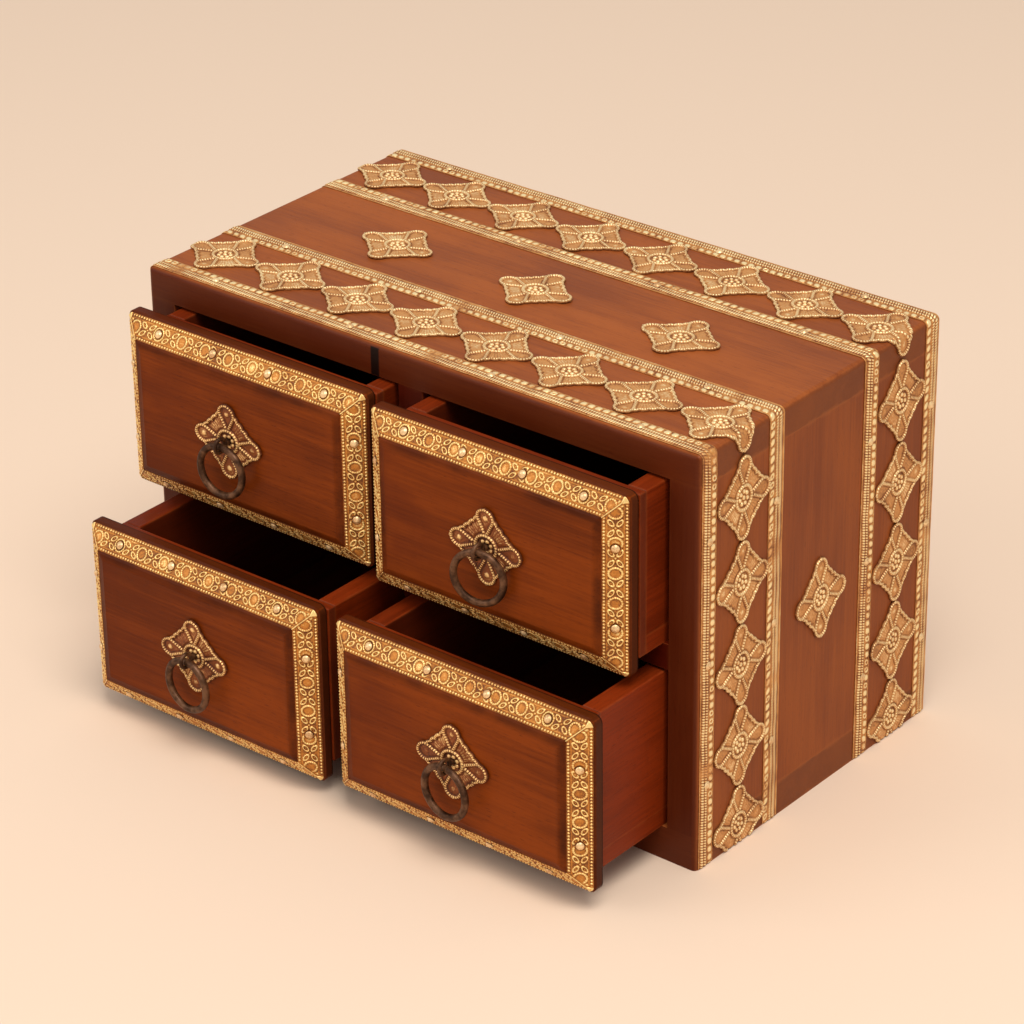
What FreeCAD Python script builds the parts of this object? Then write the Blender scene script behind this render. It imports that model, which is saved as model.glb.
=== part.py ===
# Small brass-bound chest of four drawers, in millimetres.
# +X runs along the front to the right, +Y to the back and +Z up.
# The origin is the middle of the underside of the case.
import FreeCAD, Part
import Sketcher
import math
import os

os.makedirs("parts", exist_ok=True)
doc = FreeCAD.newDocument("BrassBoundChest")
sheet = doc.addObject("Spreadsheet::Sheet", "Sizes")
gauge = doc.addObject("App::FeaturePython", "Gauge")
gauge.addProperty("App::PropertyFloat", "Reading")
nodes = []
rows = []


def size(alias, number, note):
    """Give one driving dimension its own row: what it is, its number and its name."""
    rows.append(alias)
    row = len(rows)
    sheet.set(f"A{row}", note)
    sheet.set(f"B{row}", str(number))
    sheet.setAlias(f"B{row}", alias)


# ---- driving dimensions: the case ----
CARCASS_WIDTH = 254
size("CarcassWidth", CARCASS_WIDTH, "case, left to right")
CARCASS_DEPTH = 142.5
size("CarcassDepth", CARCASS_DEPTH, "case, front to back")
CARCASS_HEIGHT = 163.5
size("CarcassHeight", CARCASS_HEIGHT, "case, underside to top")
SIDE_THICKNESS = 12.5
size("SideThickness", SIDE_THICKNESS, "side boards")
TOP_THICKNESS = 12
size("TopThickness", TOP_THICKNESS, "top board")
BOTTOM_THICKNESS = 13.5
size("BottomThickness", BOTTOM_THICKNESS, "bottom board")
SHELF_THICKNESS = 10
size("ShelfThickness", SHELF_THICKNESS, "shelf between the two rows of drawers")
DIVIDER_THICKNESS = 11
size("DividerThickness", DIVIDER_THICKNESS, "upright boards between left and right drawers")
BACK_THICKNESS = 6
size("BackThickness", BACK_THICKNESS, "back panel, let in between the boards")
EDGE_ROUNDING = 2
size("EdgeRounding", EDGE_ROUNDING, "radius of the outer edges of the case")

# ---- driving dimensions: the drawer boxes ----
DRAWER_SIDE_GAP = 2.3
size("DrawerSideGap", DRAWER_SIDE_GAP, "drawer box to the opening, each side")
DRAWER_TOP_GAP = 1.2
size("DrawerTopGap", DRAWER_TOP_GAP, "drawer box to the board above it")
DRAWER_SLIDE_GAP = 0.1
size("DrawerSlideGap", DRAWER_SLIDE_GAP, "drawer box to the board that it slides on")
DRAWER_BACK_GAP = 2.5
size("DrawerBackGap", DRAWER_BACK_GAP, "closed drawer box to the back panel")
BOX_FRONT_THICKNESS = 3.5
size("BoxFrontThickness", BOX_FRONT_THICKNESS, "front board of the drawer box")
BOX_SIDE_THICKNESS = 8
size("BoxSideThickness", BOX_SIDE_THICKNESS, "side boards of the drawer box")
BOX_BACK_THICKNESS = 8
size("BoxBackThickness", BOX_BACK_THICKNESS, "back board of the drawer box")
BOX_BOTTOM_THICKNESS = 7
size("BoxBottomThickness", BOX_BOTTOM_THICKNESS, "bottom board of the drawer box")
DRAWER_ROUNDING = 0.7
size("DrawerRounding", DRAWER_ROUNDING, "radius of the top edges of the drawer box")

# ---- driving dimensions: the fielded face boards ----
FACE_RIM = 3.5
size("FaceRim", FACE_RIM, "thickness of the face board at its rim")
FACE_CORNER = 3
size("FaceCorner", FACE_CORNER, "corner radius of the rim")
BEVEL_WIDTH = 9.2
size("BevelWidth", BEVEL_WIDTH, "bevel, rim to shoulder, seen from the front")
BEVEL_RISE = 6.4
size("BevelRise", BEVEL_RISE, "bevel, rim to shoulder, front to back")
SHOULDER_WIDTH = 2.2
size("ShoulderWidth", SHOULDER_WIDTH, "shoulder round the field, seen from the front")
SHOULDER_RISE = 0.7
size("ShoulderRise", SHOULDER_RISE, "shoulder round the field, front to back")
FIELD_CORNER = 0.8
size("FieldCorner", FIELD_CORNER, "corner radius of the shoulder and field")

# ---- driving dimensions: each drawer's own ----
UPPER_LEFT_PULL = 9.0
size("UpperLeftPull", UPPER_LEFT_PULL, "upper left drawer, how far it stands open")
UPPER_LEFT_DROP = 6.1
size("UpperLeftDrop", UPPER_LEFT_DROP, "upper left face board, below its box")
UPPER_LEFT_LIFT = 1.3
size("UpperLeftLift", UPPER_LEFT_LIFT, "upper left face board, above its box")
UPPER_LEFT_LEFT_LAP = 13.2
size("UpperLeftLeftLap", UPPER_LEFT_LEFT_LAP, "upper left face board, past its box on the left")
UPPER_LEFT_RIGHT_LAP = -0.8
size("UpperLeftRightLap", UPPER_LEFT_RIGHT_LAP, "upper left face board, past its box on the right")
UPPER_LEFT_PULL_X = -3.8
size("UpperLeftPullX", UPPER_LEFT_PULL_X, "upper left handle, right of the middle of the face")
UPPER_LEFT_PULL_Z = -0.1
size("UpperLeftPullZ", UPPER_LEFT_PULL_Z, "upper left handle, above the middle of the face")
UPPER_LEFT_RING_YAW = 3
size("UpperLeftRingYaw", UPPER_LEFT_RING_YAW, "upper left ring, turned about the upright, in degrees")
UPPER_RIGHT_PULL = 13.3
size("UpperRightPull", UPPER_RIGHT_PULL, "upper right drawer, how far it stands open")
UPPER_RIGHT_DROP = 7.0
size("UpperRightDrop", UPPER_RIGHT_DROP, "upper right face board, below its box")
UPPER_RIGHT_LIFT = 0.8
size("UpperRightLift", UPPER_RIGHT_LIFT, "upper right face board, above its box")
UPPER_RIGHT_LEFT_LAP = 11.4
size("UpperRightLeftLap", UPPER_RIGHT_LEFT_LAP, "upper right face board, past its box on the left")
UPPER_RIGHT_RIGHT_LAP = -0.6
size("UpperRightRightLap", UPPER_RIGHT_RIGHT_LAP, "upper right face board, past its box on the right")
UPPER_RIGHT_PULL_X = 0.1
size("UpperRightPullX", UPPER_RIGHT_PULL_X, "upper right handle, right of the middle of the face")
UPPER_RIGHT_PULL_Z = 0.3
size("UpperRightPullZ", UPPER_RIGHT_PULL_Z, "upper right handle, above the middle of the face")
UPPER_RIGHT_RING_YAW = 12
size("UpperRightRingYaw", UPPER_RIGHT_RING_YAW, "upper right ring, turned about the upright, in degrees")
LOWER_LEFT_PULL = 38.3
size("LowerLeftPull", LOWER_LEFT_PULL, "lower left drawer, how far it stands open")
LOWER_LEFT_DROP = 8.1
size("LowerLeftDrop", LOWER_LEFT_DROP, "lower left face board, below its box")
LOWER_LEFT_LIFT = 1.3
size("LowerLeftLift", LOWER_LEFT_LIFT, "lower left face board, above its box")
LOWER_LEFT_LEFT_LAP = 9.9
size("LowerLeftLeftLap", LOWER_LEFT_LEFT_LAP, "lower left face board, past its box on the left")
LOWER_LEFT_RIGHT_LAP = -1.0
size("LowerLeftRightLap", LOWER_LEFT_RIGHT_LAP, "lower left face board, past its box on the right")
LOWER_LEFT_PULL_X = 0.3
size("LowerLeftPullX", LOWER_LEFT_PULL_X, "lower left handle, right of the middle of the face")
LOWER_LEFT_PULL_Z = 0.5
size("LowerLeftPullZ", LOWER_LEFT_PULL_Z, "lower left handle, above the middle of the face")
LOWER_LEFT_RING_YAW = -3
size("LowerLeftRingYaw", LOWER_LEFT_RING_YAW, "lower left ring, turned about the upright, in degrees")
LOWER_RIGHT_PULL = 38.5
size("LowerRightPull", LOWER_RIGHT_PULL, "lower right drawer, how far it stands open")
LOWER_RIGHT_DROP = 5.6
size("LowerRightDrop", LOWER_RIGHT_DROP, "lower right face board, below its box")
LOWER_RIGHT_LIFT = 1.4
size("LowerRightLift", LOWER_RIGHT_LIFT, "lower right face board, above its box")
LOWER_RIGHT_LEFT_LAP = 8.6
size("LowerRightLeftLap", LOWER_RIGHT_LEFT_LAP, "lower right face board, past its box on the left")
LOWER_RIGHT_RIGHT_LAP = 3.7
size("LowerRightRightLap", LOWER_RIGHT_RIGHT_LAP, "lower right face board, past its box on the right")
LOWER_RIGHT_PULL_X = 0.7
size("LowerRightPullX", LOWER_RIGHT_PULL_X, "lower right handle, right of the middle of the face")
LOWER_RIGHT_PULL_Z = 0.6
size("LowerRightPullZ", LOWER_RIGHT_PULL_Z, "lower right handle, above the middle of the face")
LOWER_RIGHT_RING_YAW = -4
size("LowerRightRingYaw", LOWER_RIGHT_RING_YAW, "lower right ring, turned about the upright, in degrees")

# ---- driving dimensions: brass straps, rosettes, trim and nails ----
EDGE_STRAP_WIDTH = 8
size("EdgeStrapWidth", EDGE_STRAP_WIDTH, "straps along the front and back edges of the case")
INNER_STRAP_WIDTH = 8.4
size("InnerStrapWidth", INNER_STRAP_WIDTH, "straps further in")
STRAP_THICKNESS = 0.6
size("StrapThickness", STRAP_THICKNESS, "straps, with their pattern")
STRAP_FOOT_GAP = 0.5
size("StrapFootGap", STRAP_FOOT_GAP, "foot of a strap, above the underside")
FRONT_EDGE_INSET = 1.4
size("FrontEdgeInset", FRONT_EDGE_INSET, "front edge strap, from the front face")
FRONT_STRAP_INSET = 39.5
size("FrontStrapInset", FRONT_STRAP_INSET, "inner front strap, from the front face")
BACK_STRAP_INSET = 38
size("BackStrapInset", BACK_STRAP_INSET, "inner back strap, from the back face")
BACK_EDGE_INSET = 0.3
size("BackEdgeInset", BACK_EDGE_INSET, "back edge strap, from the back face")
ROSETTE_PITCH = 32.6
size("RosettePitch", ROSETTE_PITCH, "rosettes in a row, middle to middle")
ROSETTE_GAP = 0.2
size("RosetteGap", ROSETTE_GAP, "rosettes in a row, tip to tip")
ROSETTE_STRAP_GAP = 0.15
size("RosetteStrapGap", ROSETTE_STRAP_GAP, "rosettes of a band to the straps beside them")
SINGLE_ROSETTE_REACH = 15
size("SingleRosetteReach", SINGLE_ROSETTE_REACH, "single rosettes and those of the handles, across their row")
PETAL_RADIUS = 4.1
size("PetalRadius", PETAL_RADIUS, "round end of a long petal")
LOBE_REACH = 12.2
size("LobeReach", LOBE_REACH, "rosette, middle to the top of a short lobe")
LOBE_RADIUS = 3.4
size("LobeRadius", LOBE_RADIUS, "round end of a short lobe")
LOBE_ANGLE = 15
size("LobeAngle", LOBE_ANGLE, "short lobes each side of the diagonal, in degrees")
ROSETTE_THICKNESS = 0.7
size("RosetteThickness", ROSETTE_THICKNESS, "rosette plate")
BOSS_RADIUS = 4.6
size("BossRadius", BOSS_RADIUS, "raised middle of a rosette")
BOSS_HEIGHT = 0.7
size("BossHeight", BOSS_HEIGHT, "raised middle of a rosette, above the plate")
ROW_SHIFT = 3.2
size("RowShift", ROW_SHIFT, "rosette rows on top, right of the middle")
CORNER_STEP = 1.2
size("CornerStep", CORNER_STEP, "extra step of a row where it turns down a side")
FIELD_PITCH = 66
size("FieldPitch", FIELD_PITCH, "single rosettes on top, middle to middle")
FIELD_SHIFT = -1.75
size("FieldShift", FIELD_SHIFT, "single rosettes on top, behind the middle of their field")
SIDE_FIELD_RISE = -2.6
size("SideFieldRise", SIDE_FIELD_RISE, "single rosette on a side, above the middle")
TRIM_MARGIN = 0.8
size("TrimMargin", TRIM_MARGIN, "trim on a bevel, from the rim and from the shoulder")
TRIM_THICKNESS = 0.6
size("TrimThickness", TRIM_THICKNESS, "trim on a bevel")
NAIL_HEAD_RADIUS = 1.5
size("NailHeadRadius", NAIL_HEAD_RADIUS, "domed nail head")
NAIL_HEAD_HEIGHT = 0.8
size("NailHeadHeight", NAIL_HEAD_HEIGHT, "domed nail head")
NAIL_SHANK_RADIUS = 0.6
size("NailShankRadius", NAIL_SHANK_RADIUS, "nail shank")
NAIL_LENGTH = 5
size("NailLength", NAIL_LENGTH, "nail, under its head")
NAIL_HOLE_GAP = 0.02
size("NailHoleGap", NAIL_HOLE_GAP, "nail shank to its hole")
STRAP_NAIL_PITCH = 65.2
size("StrapNailPitch", STRAP_NAIL_PITCH, "nails along the top of a strap")
SIDE_NAIL_PITCH = 48
size("SideNailPitch", SIDE_NAIL_PITCH, "nails down the side of a strap")
SIDE_NAIL_DROP = 34
size("SideNailDrop", SIDE_NAIL_DROP, "first nail on a side, below the top")
TRIM_NAIL_PITCH = 27
size("TrimNailPitch", TRIM_NAIL_PITCH, "nails along a strip of trim")

# ---- driving dimensions: the ring handles ----
EYE_RADIUS = 2.65
size("EyeRadius", EYE_RADIUS, "eye of the split pin, to the middle of its wire")
EYE_WIRE_RADIUS = 0.75
size("EyeWireRadius", EYE_WIRE_RADIUS, "wire of the eye")
EYE_STANDOFF = 0.15
size("EyeStandoff", EYE_STANDOFF, "eye, in front of the rosette")
PIN_RADIUS = 1.1
size("PinRadius", PIN_RADIUS, "shank of the split pin")
PIN_HOLE_GAP = 0.1
size("PinHoleGap", PIN_HOLE_GAP, "shank of the split pin to its hole")
TAIL_LENGTH = 7
size("TailLength", TAIL_LENGTH, "legs of the split pin, bent apart inside")
TAIL_THICKNESS = 1.2
size("TailThickness", TAIL_THICKNESS, "legs of the split pin")
TAIL_WIDTH = 2.5
size("TailWidth", TAIL_WIDTH, "legs of the split pin")
RING_RADIUS = 9.8
size("RingRadius", RING_RADIUS, "ring, to the middle of its wire")
RING_WIRE_RADIUS = 1.35
size("RingWireRadius", RING_WIRE_RADIUS, "wire of the ring")
RING_SEAT_GAP = 0.1
size("RingSeatGap", RING_SEAT_GAP, "ring to the bottom of the eye")
doc.recompute()

# ---- sizes that follow from the others ----
CELL_WIDTH = "((Sizes.CarcassWidth - 2 * Sizes.SideThickness - Sizes.DividerThickness) / 2)"
INNER_HEIGHT = "(Sizes.CarcassHeight - Sizes.BottomThickness - Sizes.TopThickness)"
CELL_HEIGHT = f"(({INNER_HEIGHT} - Sizes.ShelfThickness) / 2)"
INNER_WIDTH = "(Sizes.CarcassWidth - 2 * Sizes.SideThickness)"
INNER_DEPTH = "(Sizes.CarcassDepth - Sizes.BackThickness)"
SHELF_Z = f"(Sizes.BottomThickness + {CELL_HEIGHT})"
UPPER_Z = f"({SHELF_Z} + Sizes.ShelfThickness)"
FRONT_Y = "(-Sizes.CarcassDepth / 2)"
BOX_WIDTH = f"({CELL_WIDTH} - 2 * Sizes.DrawerSideGap)"
BOX_HEIGHT = f"({CELL_HEIGHT} - Sizes.DrawerSlideGap - Sizes.DrawerTopGap)"
BOX_LENGTH = f"({INNER_DEPTH} - Sizes.DrawerBackGap)"
FACE_RISE = "(Sizes.FaceRim + Sizes.BevelRise + Sizes.ShoulderRise)"
EYE_REACH = (
    f"({FACE_RISE} + Sizes.RosetteThickness + Sizes.BossHeight"
    " + Sizes.EyeStandoff + Sizes.EyeRadius + Sizes.EyeWireRadius)"
)
ROSETTE_REACH = "(Sizes.RosettePitch / 2 - Sizes.RosetteGap / 2)"
WRAP = "(Sizes.CarcassWidth / 2 - Sizes.EdgeRounding * (1 - pi / 2))"
TRIM_WIDTH = "(Sizes.BevelWidth - 2 * Sizes.TrimMargin)"
RING_SEAT = (
    "(Sizes.EyeRadius - Sizes.EyeWireRadius"
    " - Sizes.RingWireRadius - Sizes.RingSeatGap)"
)


def number(expression):
    """Work out an expression of the sheet's sizes as a plain number."""
    gauge.setExpression("Reading", expression)
    gauge.recompute()
    return gauge.Reading


def named(alias):
    """The number in the sheet under one name."""
    return float(sheet.get(alias))


def place(piece, x, y, z):
    """Tie a piece's position to three expressions."""
    piece.setExpression("Placement.Base.x", x)
    piece.setExpression("Placement.Base.y", y)
    piece.setExpression("Placement.Base.z", z)


def keep(piece, label):
    """Take a finished piece into the list of sub-parts under its own name."""
    piece.Label = label
    nodes.append(piece)
    return piece


def origin_plane(body, role):
    """One of a body's own three origin planes."""
    return [plane for plane in body.Origin.OriginFeatures if plane.Role == role][0]


def add_sketch(body, role, name, offset=None):
    """Put an empty sketch on a body's origin plane, or a stated distance in front of it."""
    sketch = body.newObject("Sketcher::SketchObject", name)
    sketch.AttachmentSupport = [(origin_plane(body, role), "")]
    sketch.MapMode = "FlatFace"
    if offset is not None:
        sketch.setExpression("AttachmentOffset.Base.z", offset)
    return sketch


def fix(sketch, name, kind, *terms):
    """Add one named dimension to a sketch and tie it to an expression, the last term."""
    *where, expression = terms
    index = sketch.addConstraint(Sketcher.Constraint(kind, *where, number(expression)))
    sketch.renameConstraint(index, name)
    sketch.setExpression(f"Constraints.{name}", expression)


def draw_rectangle(sketch, width, height):
    """A rectangle with one corner on the sketch's origin."""
    across = number(width)
    up = number(height)
    corners = [
        FreeCAD.Vector(0, 0, 0),
        FreeCAD.Vector(across, 0, 0),
        FreeCAD.Vector(across, up, 0),
        FreeCAD.Vector(0, up, 0),
    ]
    for side in range(4):
        sketch.addGeometry(Part.LineSegment(corners[side], corners[(side + 1) % 4]), False)
    for side in range(4):
        sketch.addConstraint(Sketcher.Constraint("Coincident", side, 2, (side + 1) % 4, 1))
    for side in (0, 2):
        sketch.addConstraint(Sketcher.Constraint("Horizontal", side))
    for side in (1, 3):
        sketch.addConstraint(Sketcher.Constraint("Vertical", side))
    sketch.addConstraint(Sketcher.Constraint("Coincident", 0, 1, -1, 1))
    fix(sketch, "Width", "DistanceX", 0, 1, 0, 2, width)
    fix(sketch, "Height", "DistanceY", 1, 1, 1, 2, height)


def draw_rounded_rectangle(sketch, width, height, radius):
    """A rectangle with round corners, centred on the sketch's origin."""
    half = number(width) / 2
    rise = number(height) / 2
    round_ = number(radius)
    flat = half - round_
    straight = rise - round_
    lines = [
        ((-flat, -rise), (flat, -rise)),
        ((half, -straight), (half, straight)),
        ((flat, rise), (-flat, rise)),
        ((-half, straight), (-half, -straight)),
    ]
    for start, end in lines:
        sketch.addGeometry(Part.LineSegment(FreeCAD.Vector(*start), FreeCAD.Vector(*end)), False)
    centres = [(flat, -straight), (flat, straight), (-flat, straight), (-flat, -straight)]
    for turn, centre in enumerate(centres):
        circle = Part.Circle(FreeCAD.Vector(*centre), FreeCAD.Vector(0, 0, 1), round_)
        begin = math.radians(90 * turn - 90)
        sketch.addGeometry(Part.ArcOfCircle(circle, begin, begin + math.pi / 2), False)
    for side in range(4):
        sketch.addConstraint(Sketcher.Constraint("Tangent", side, 2, side + 4, 1))
        sketch.addConstraint(Sketcher.Constraint("Tangent", side + 4, 2, (side + 1) % 4, 1))
    sketch.addConstraint(Sketcher.Constraint("Horizontal", 2))
    sketch.addConstraint(Sketcher.Constraint("Vertical", 3))
    for arc in (5, 6, 7):
        sketch.addConstraint(Sketcher.Constraint("Equal", 4, arc))
    sketch.addConstraint(Sketcher.Constraint("Symmetric", 0, 1, 0, 2, -2))
    sketch.addConstraint(Sketcher.Constraint("Symmetric", 1, 1, 1, 2, -1))
    fix(sketch, "Width", "DistanceX", 3, 1, 1, 1, width)
    fix(sketch, "Height", "DistanceY", 0, 1, 2, 1, height)
    fix(sketch, "Corner", "Radius", 4, radius)


def draw_circle(sketch, across, up, radius):
    """A circle at a stated place in the sketch."""
    centre = FreeCAD.Vector(number(across), number(up), 0)
    sketch.addGeometry(Part.Circle(centre, FreeCAD.Vector(0, 0, 1), number(radius)), False)
    fix(sketch, "Radius", "Radius", 0, radius)
    for name, kind, expression in (("Across", "DistanceX", across), ("Up", "DistanceY", up)):
        if number(expression) == 0:
            sketch.addConstraint(Sketcher.Constraint("PointOnObject", 0, 3, -2 if name == "Across" else -1))
        else:
            fix(sketch, name, kind, -1, 1, 0, 3, expression)


def add_board(label, width, depth, height, x, y, z):
    """A sawn board: a rectangle padded upwards, with its lowest corner at x, y, z."""
    body = doc.addObject("PartDesign::Body", label)
    sketch = add_sketch(body, "XY_Plane", f"{label}_outline")
    draw_rectangle(sketch, width, depth)
    pad = body.newObject("PartDesign::Pad", f"{label}_pad")
    pad.Profile = sketch
    pad.setExpression("Length", height)
    place(body, x, y, z)
    doc.recompute()
    return body


def round_edges(body, radius, chosen):
    """Round the edges of a body's last feature that a test on their middle and direction picks."""
    sharp = body.Tip
    solid = sharp.Shape
    names = []
    for index, edge in enumerate(solid.Edges):
        if chosen(edge.CenterOfMass, edge.tangentAt(edge.FirstParameter), solid.BoundBox):
            names.append(f"Edge{index + 1}")
    fillet = body.newObject("PartDesign::Fillet", f"{body.Name}_rounding")
    fillet.Base = (sharp, names)
    fillet.setExpression("Radius", radius)
    doc.recompute()


def add_shape(label, shape):
    """A piece whose shape is worked out in code from the sheet's sizes."""
    piece = doc.addObject("Part::Feature", label)
    piece.Shape = shape
    return piece


def cut_away(label, base, tool):
    """A piece with another shape cut out of it."""
    base.Label = f"{label}_blank"
    cut = doc.addObject("Part::Cut", label)
    cut.Base = base
    cut.Tool = tool
    return cut


# ---- nails: a domed brass head on a short pointed shank, one solid each ----
def nail_shape():
    """A nail on the Z axis, its head sitting on the plane z = 0: a profile turned about Z."""
    head = named("NailHeadRadius")
    dome = named("NailHeadHeight")
    shank = named("NailShankRadius")
    length = named("NailLength")
    top = FreeCAD.Vector(0, 0, dome)
    rim = FreeCAD.Vector(head, 0, 0)
    ball = (head * head + dome * dome) / (2 * dome)
    lean = math.asin(head / ball) / 2
    middle = FreeCAD.Vector(ball * math.sin(lean), 0, dome - ball + ball * math.cos(lean))
    neck = FreeCAD.Vector(shank, 0, 0)
    taper = FreeCAD.Vector(shank, 0, shank - length)
    tip = FreeCAD.Vector(0, 0, -length)
    edges = [
        Part.Arc(top, middle, rim).toShape(),
        Part.makeLine(rim, neck),
        Part.makeLine(neck, taper),
        Part.makeLine(taper, tip),
        Part.makeLine(tip, top),
    ]
    profile = Part.Face(Part.Wire(edges))
    return profile.revolve(FreeCAD.Vector(0, 0, 0), FreeCAD.Vector(0, 0, 1), 360)


def set_out(shape, spots):
    """Copies of a shape on the Z axis, moved to each spot and turned to its outward direction."""
    copies = []
    for point, outward in spots:
        turn = FreeCAD.Rotation(FreeCAD.Vector(0, 0, 1), outward)
        copy = shape.copy()
        copy.Placement = FreeCAD.Placement(point, turn)
        copies.append(copy)
    return Part.makeCompound(copies)


def drill_shape():
    """The hole that a nail's shank stands in, run out at its mouth."""
    radius = named("NailShankRadius") + named("NailHoleGap")
    depth = named("NailLength") + named("NailHoleGap")
    mouth = named("StrapThickness") + named("TrimThickness")
    return Part.makeCylinder(radius, depth + mouth, FreeCAD.Vector(0, 0, -depth))


# ---- rosettes: thin brass plates with four long petals, eight lobes and a raised middle ----
def rosette_block(across, height):
    """The outline as an upright block, its tips `across` from the middle in Y.

    Round discs for the petals and lobes, joined by a flat piece whose corners are their centres.
    """
    reach = number(ROSETTE_REACH)
    petal = named("PetalRadius")
    lobe = named("LobeRadius")
    out = named("LobeReach") - lobe
    discs = []
    centres = []
    for quarter in range(4):
        turn = quarter * math.pi / 2
        tip = reach if quarter % 2 == 0 else across
        spots = [((tip - petal) * math.cos(turn), (tip - petal) * math.sin(turn), petal)]
        for side in (-1, 1):
            lean = turn + math.pi / 4 + side * math.radians(named("LobeAngle"))
            spots.append((out * math.cos(lean), out * math.sin(lean) * across / reach, lobe))
        for x, y, radius in spots:
            centres.append(FreeCAD.Vector(x, y, 0))
            discs.append(Part.makeCylinder(radius, height, centres[-1]))
    heart = Part.Face(Part.makePolygon(centres + centres[:1]))
    heart = heart.extrude(FreeCAD.Vector(0, 0, height))
    return heart.multiFuse(discs).removeSplitter()


def rosette_shape(across):
    """A flat rosette on the plane z = 0, its middle raised."""
    plate = rosette_block(across, named("RosetteThickness"))
    height = named("RosetteThickness") + named("BossHeight")
    boss = Part.makeCone(named("BossRadius"), named("BossRadius") - named("BossHeight"), height)
    return plate.fuse(boss).removeSplitter()


def rounded_block(grow):
    """The case's outside as one block, grown outwards by a stated amount on its sides and top."""
    width = named("CarcassWidth") + 2 * grow
    height = named("CarcassHeight") + grow
    depth = named("CarcassDepth")
    block = Part.makeBox(width, depth, height, FreeCAD.Vector(-width / 2, -depth / 2, 0))
    edges = [
        edge for edge in block.Edges
        if abs(edge.CenterOfMass.z - height) < 1e-6 and abs(edge.CenterOfMass.y) < 1e-6
    ]
    return block.makeFillet(named("EdgeRounding") + grow, edges)


def folded_rosette(x, y, side, across):
    """A rosette near the end of a row, its tip bent down over the rounded edge of the case."""
    bend = named("CarcassHeight") - named("EdgeRounding")
    thick = named("RosetteThickness")
    reach = number(ROSETTE_REACH)
    shell = rounded_block(thick).cut(rounded_block(0))
    over = rosette_block(across, reach)
    over.translate(FreeCAD.Vector(x, y, bend))
    down = rosette_block(across, reach)
    down.rotate(FreeCAD.Vector(0, 0, 0), FreeCAD.Vector(0, 1, 0), 90 * side)
    inner = named("CarcassWidth") / 2 - named("EdgeRounding")
    down.translate(FreeCAD.Vector(side * inner, y, bend + number(WRAP) - abs(x)))
    corner = FreeCAD.Vector(side * inner - reach * 2, y - reach * 2, bend - reach * 2)
    below = Part.makeBox(reach * 4, reach * 4, reach * 2, corner)
    plate = shell.common(over.fuse(down.common(below)))
    boss_height = thick + named("BossHeight")
    boss_top = named("BossRadius") - named("BossHeight")
    level = FreeCAD.Vector(x, y, named("CarcassHeight"))
    boss = Part.makeCone(named("BossRadius"), boss_top, boss_height, level)
    return plate.fuse(boss).removeSplitter()


# ---- the case: boards glued and pinned edge to face, the top and bottom over the sides ----
def any_upper(middle, along, box):
    """Every edge above the underside."""
    return middle.z > box.ZMin + 1e-6


def any_upright(middle, along, box):
    """The upright edges."""
    return abs(along.z) > 0.99


top = add_board(
    "top_blank", "Sizes.CarcassWidth", "Sizes.CarcassDepth", "Sizes.TopThickness",
    "-Sizes.CarcassWidth / 2", FRONT_Y, "Sizes.CarcassHeight - Sizes.TopThickness",
)
round_edges(top, "Sizes.EdgeRounding", any_upper)

bottom = add_board(
    "bottom_blank", "Sizes.CarcassWidth", "Sizes.CarcassDepth", "Sizes.BottomThickness",
    "-Sizes.CarcassWidth / 2", FRONT_Y, "0",
)
round_edges(bottom, "Sizes.EdgeRounding", any_upright)

left = add_board(
    "left_blank", "Sizes.SideThickness", "Sizes.CarcassDepth", INNER_HEIGHT,
    "-Sizes.CarcassWidth / 2", FRONT_Y, "Sizes.BottomThickness",
)
round_edges(
    left, "Sizes.EdgeRounding",
    lambda middle, along, box: abs(along.z) > 0.99 and middle.x < box.Center.x,
)

right = add_board(
    "right_blank", "Sizes.SideThickness", "Sizes.CarcassDepth", INNER_HEIGHT,
    "Sizes.CarcassWidth / 2 - Sizes.SideThickness", FRONT_Y, "Sizes.BottomThickness",
)
round_edges(
    right, "Sizes.EdgeRounding",
    lambda middle, along, box: abs(along.z) > 0.99 and middle.x > box.Center.x,
)

back = add_board(
    "back_panel", INNER_WIDTH, "Sizes.BackThickness", INNER_HEIGHT,
    f"-{INNER_WIDTH} / 2", "Sizes.CarcassDepth / 2 - Sizes.BackThickness", "Sizes.BottomThickness",
)
keep(back, "back_panel")

shelf = add_board(
    "shelf", INNER_WIDTH, INNER_DEPTH, "Sizes.ShelfThickness",
    f"-{INNER_WIDTH} / 2", FRONT_Y, SHELF_Z,
)
keep(shelf, "shelf")

for label, level in (("lower_divider", "Sizes.BottomThickness"), ("upper_divider", UPPER_Z)):
    divider = add_board(
        label, "Sizes.DividerThickness", INNER_DEPTH, CELL_HEIGHT,
        "-Sizes.DividerThickness / 2", FRONT_Y, level,
    )
    keep(divider, label)


# ---- strap nails: over the top and down both sides, the same on each strap ----
BACK_Y = "(Sizes.CarcassDepth / 2)"
strap_rows = {
    "front_edge_strap": f"({FRONT_Y} + Sizes.FrontEdgeInset)",
    "front_inner_strap": f"({FRONT_Y} + Sizes.FrontStrapInset)",
    "back_inner_strap": f"({BACK_Y} - Sizes.BackStrapInset - Sizes.InnerStrapWidth)",
    "back_edge_strap": f"({BACK_Y} - Sizes.BackEdgeInset - Sizes.EdgeStrapWidth)",
}
strap_widths = {
    "front_edge_strap": "Sizes.EdgeStrapWidth",
    "front_inner_strap": "Sizes.InnerStrapWidth",
    "back_inner_strap": "Sizes.InnerStrapWidth",
    "back_edge_strap": "Sizes.EdgeStrapWidth",
}


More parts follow.
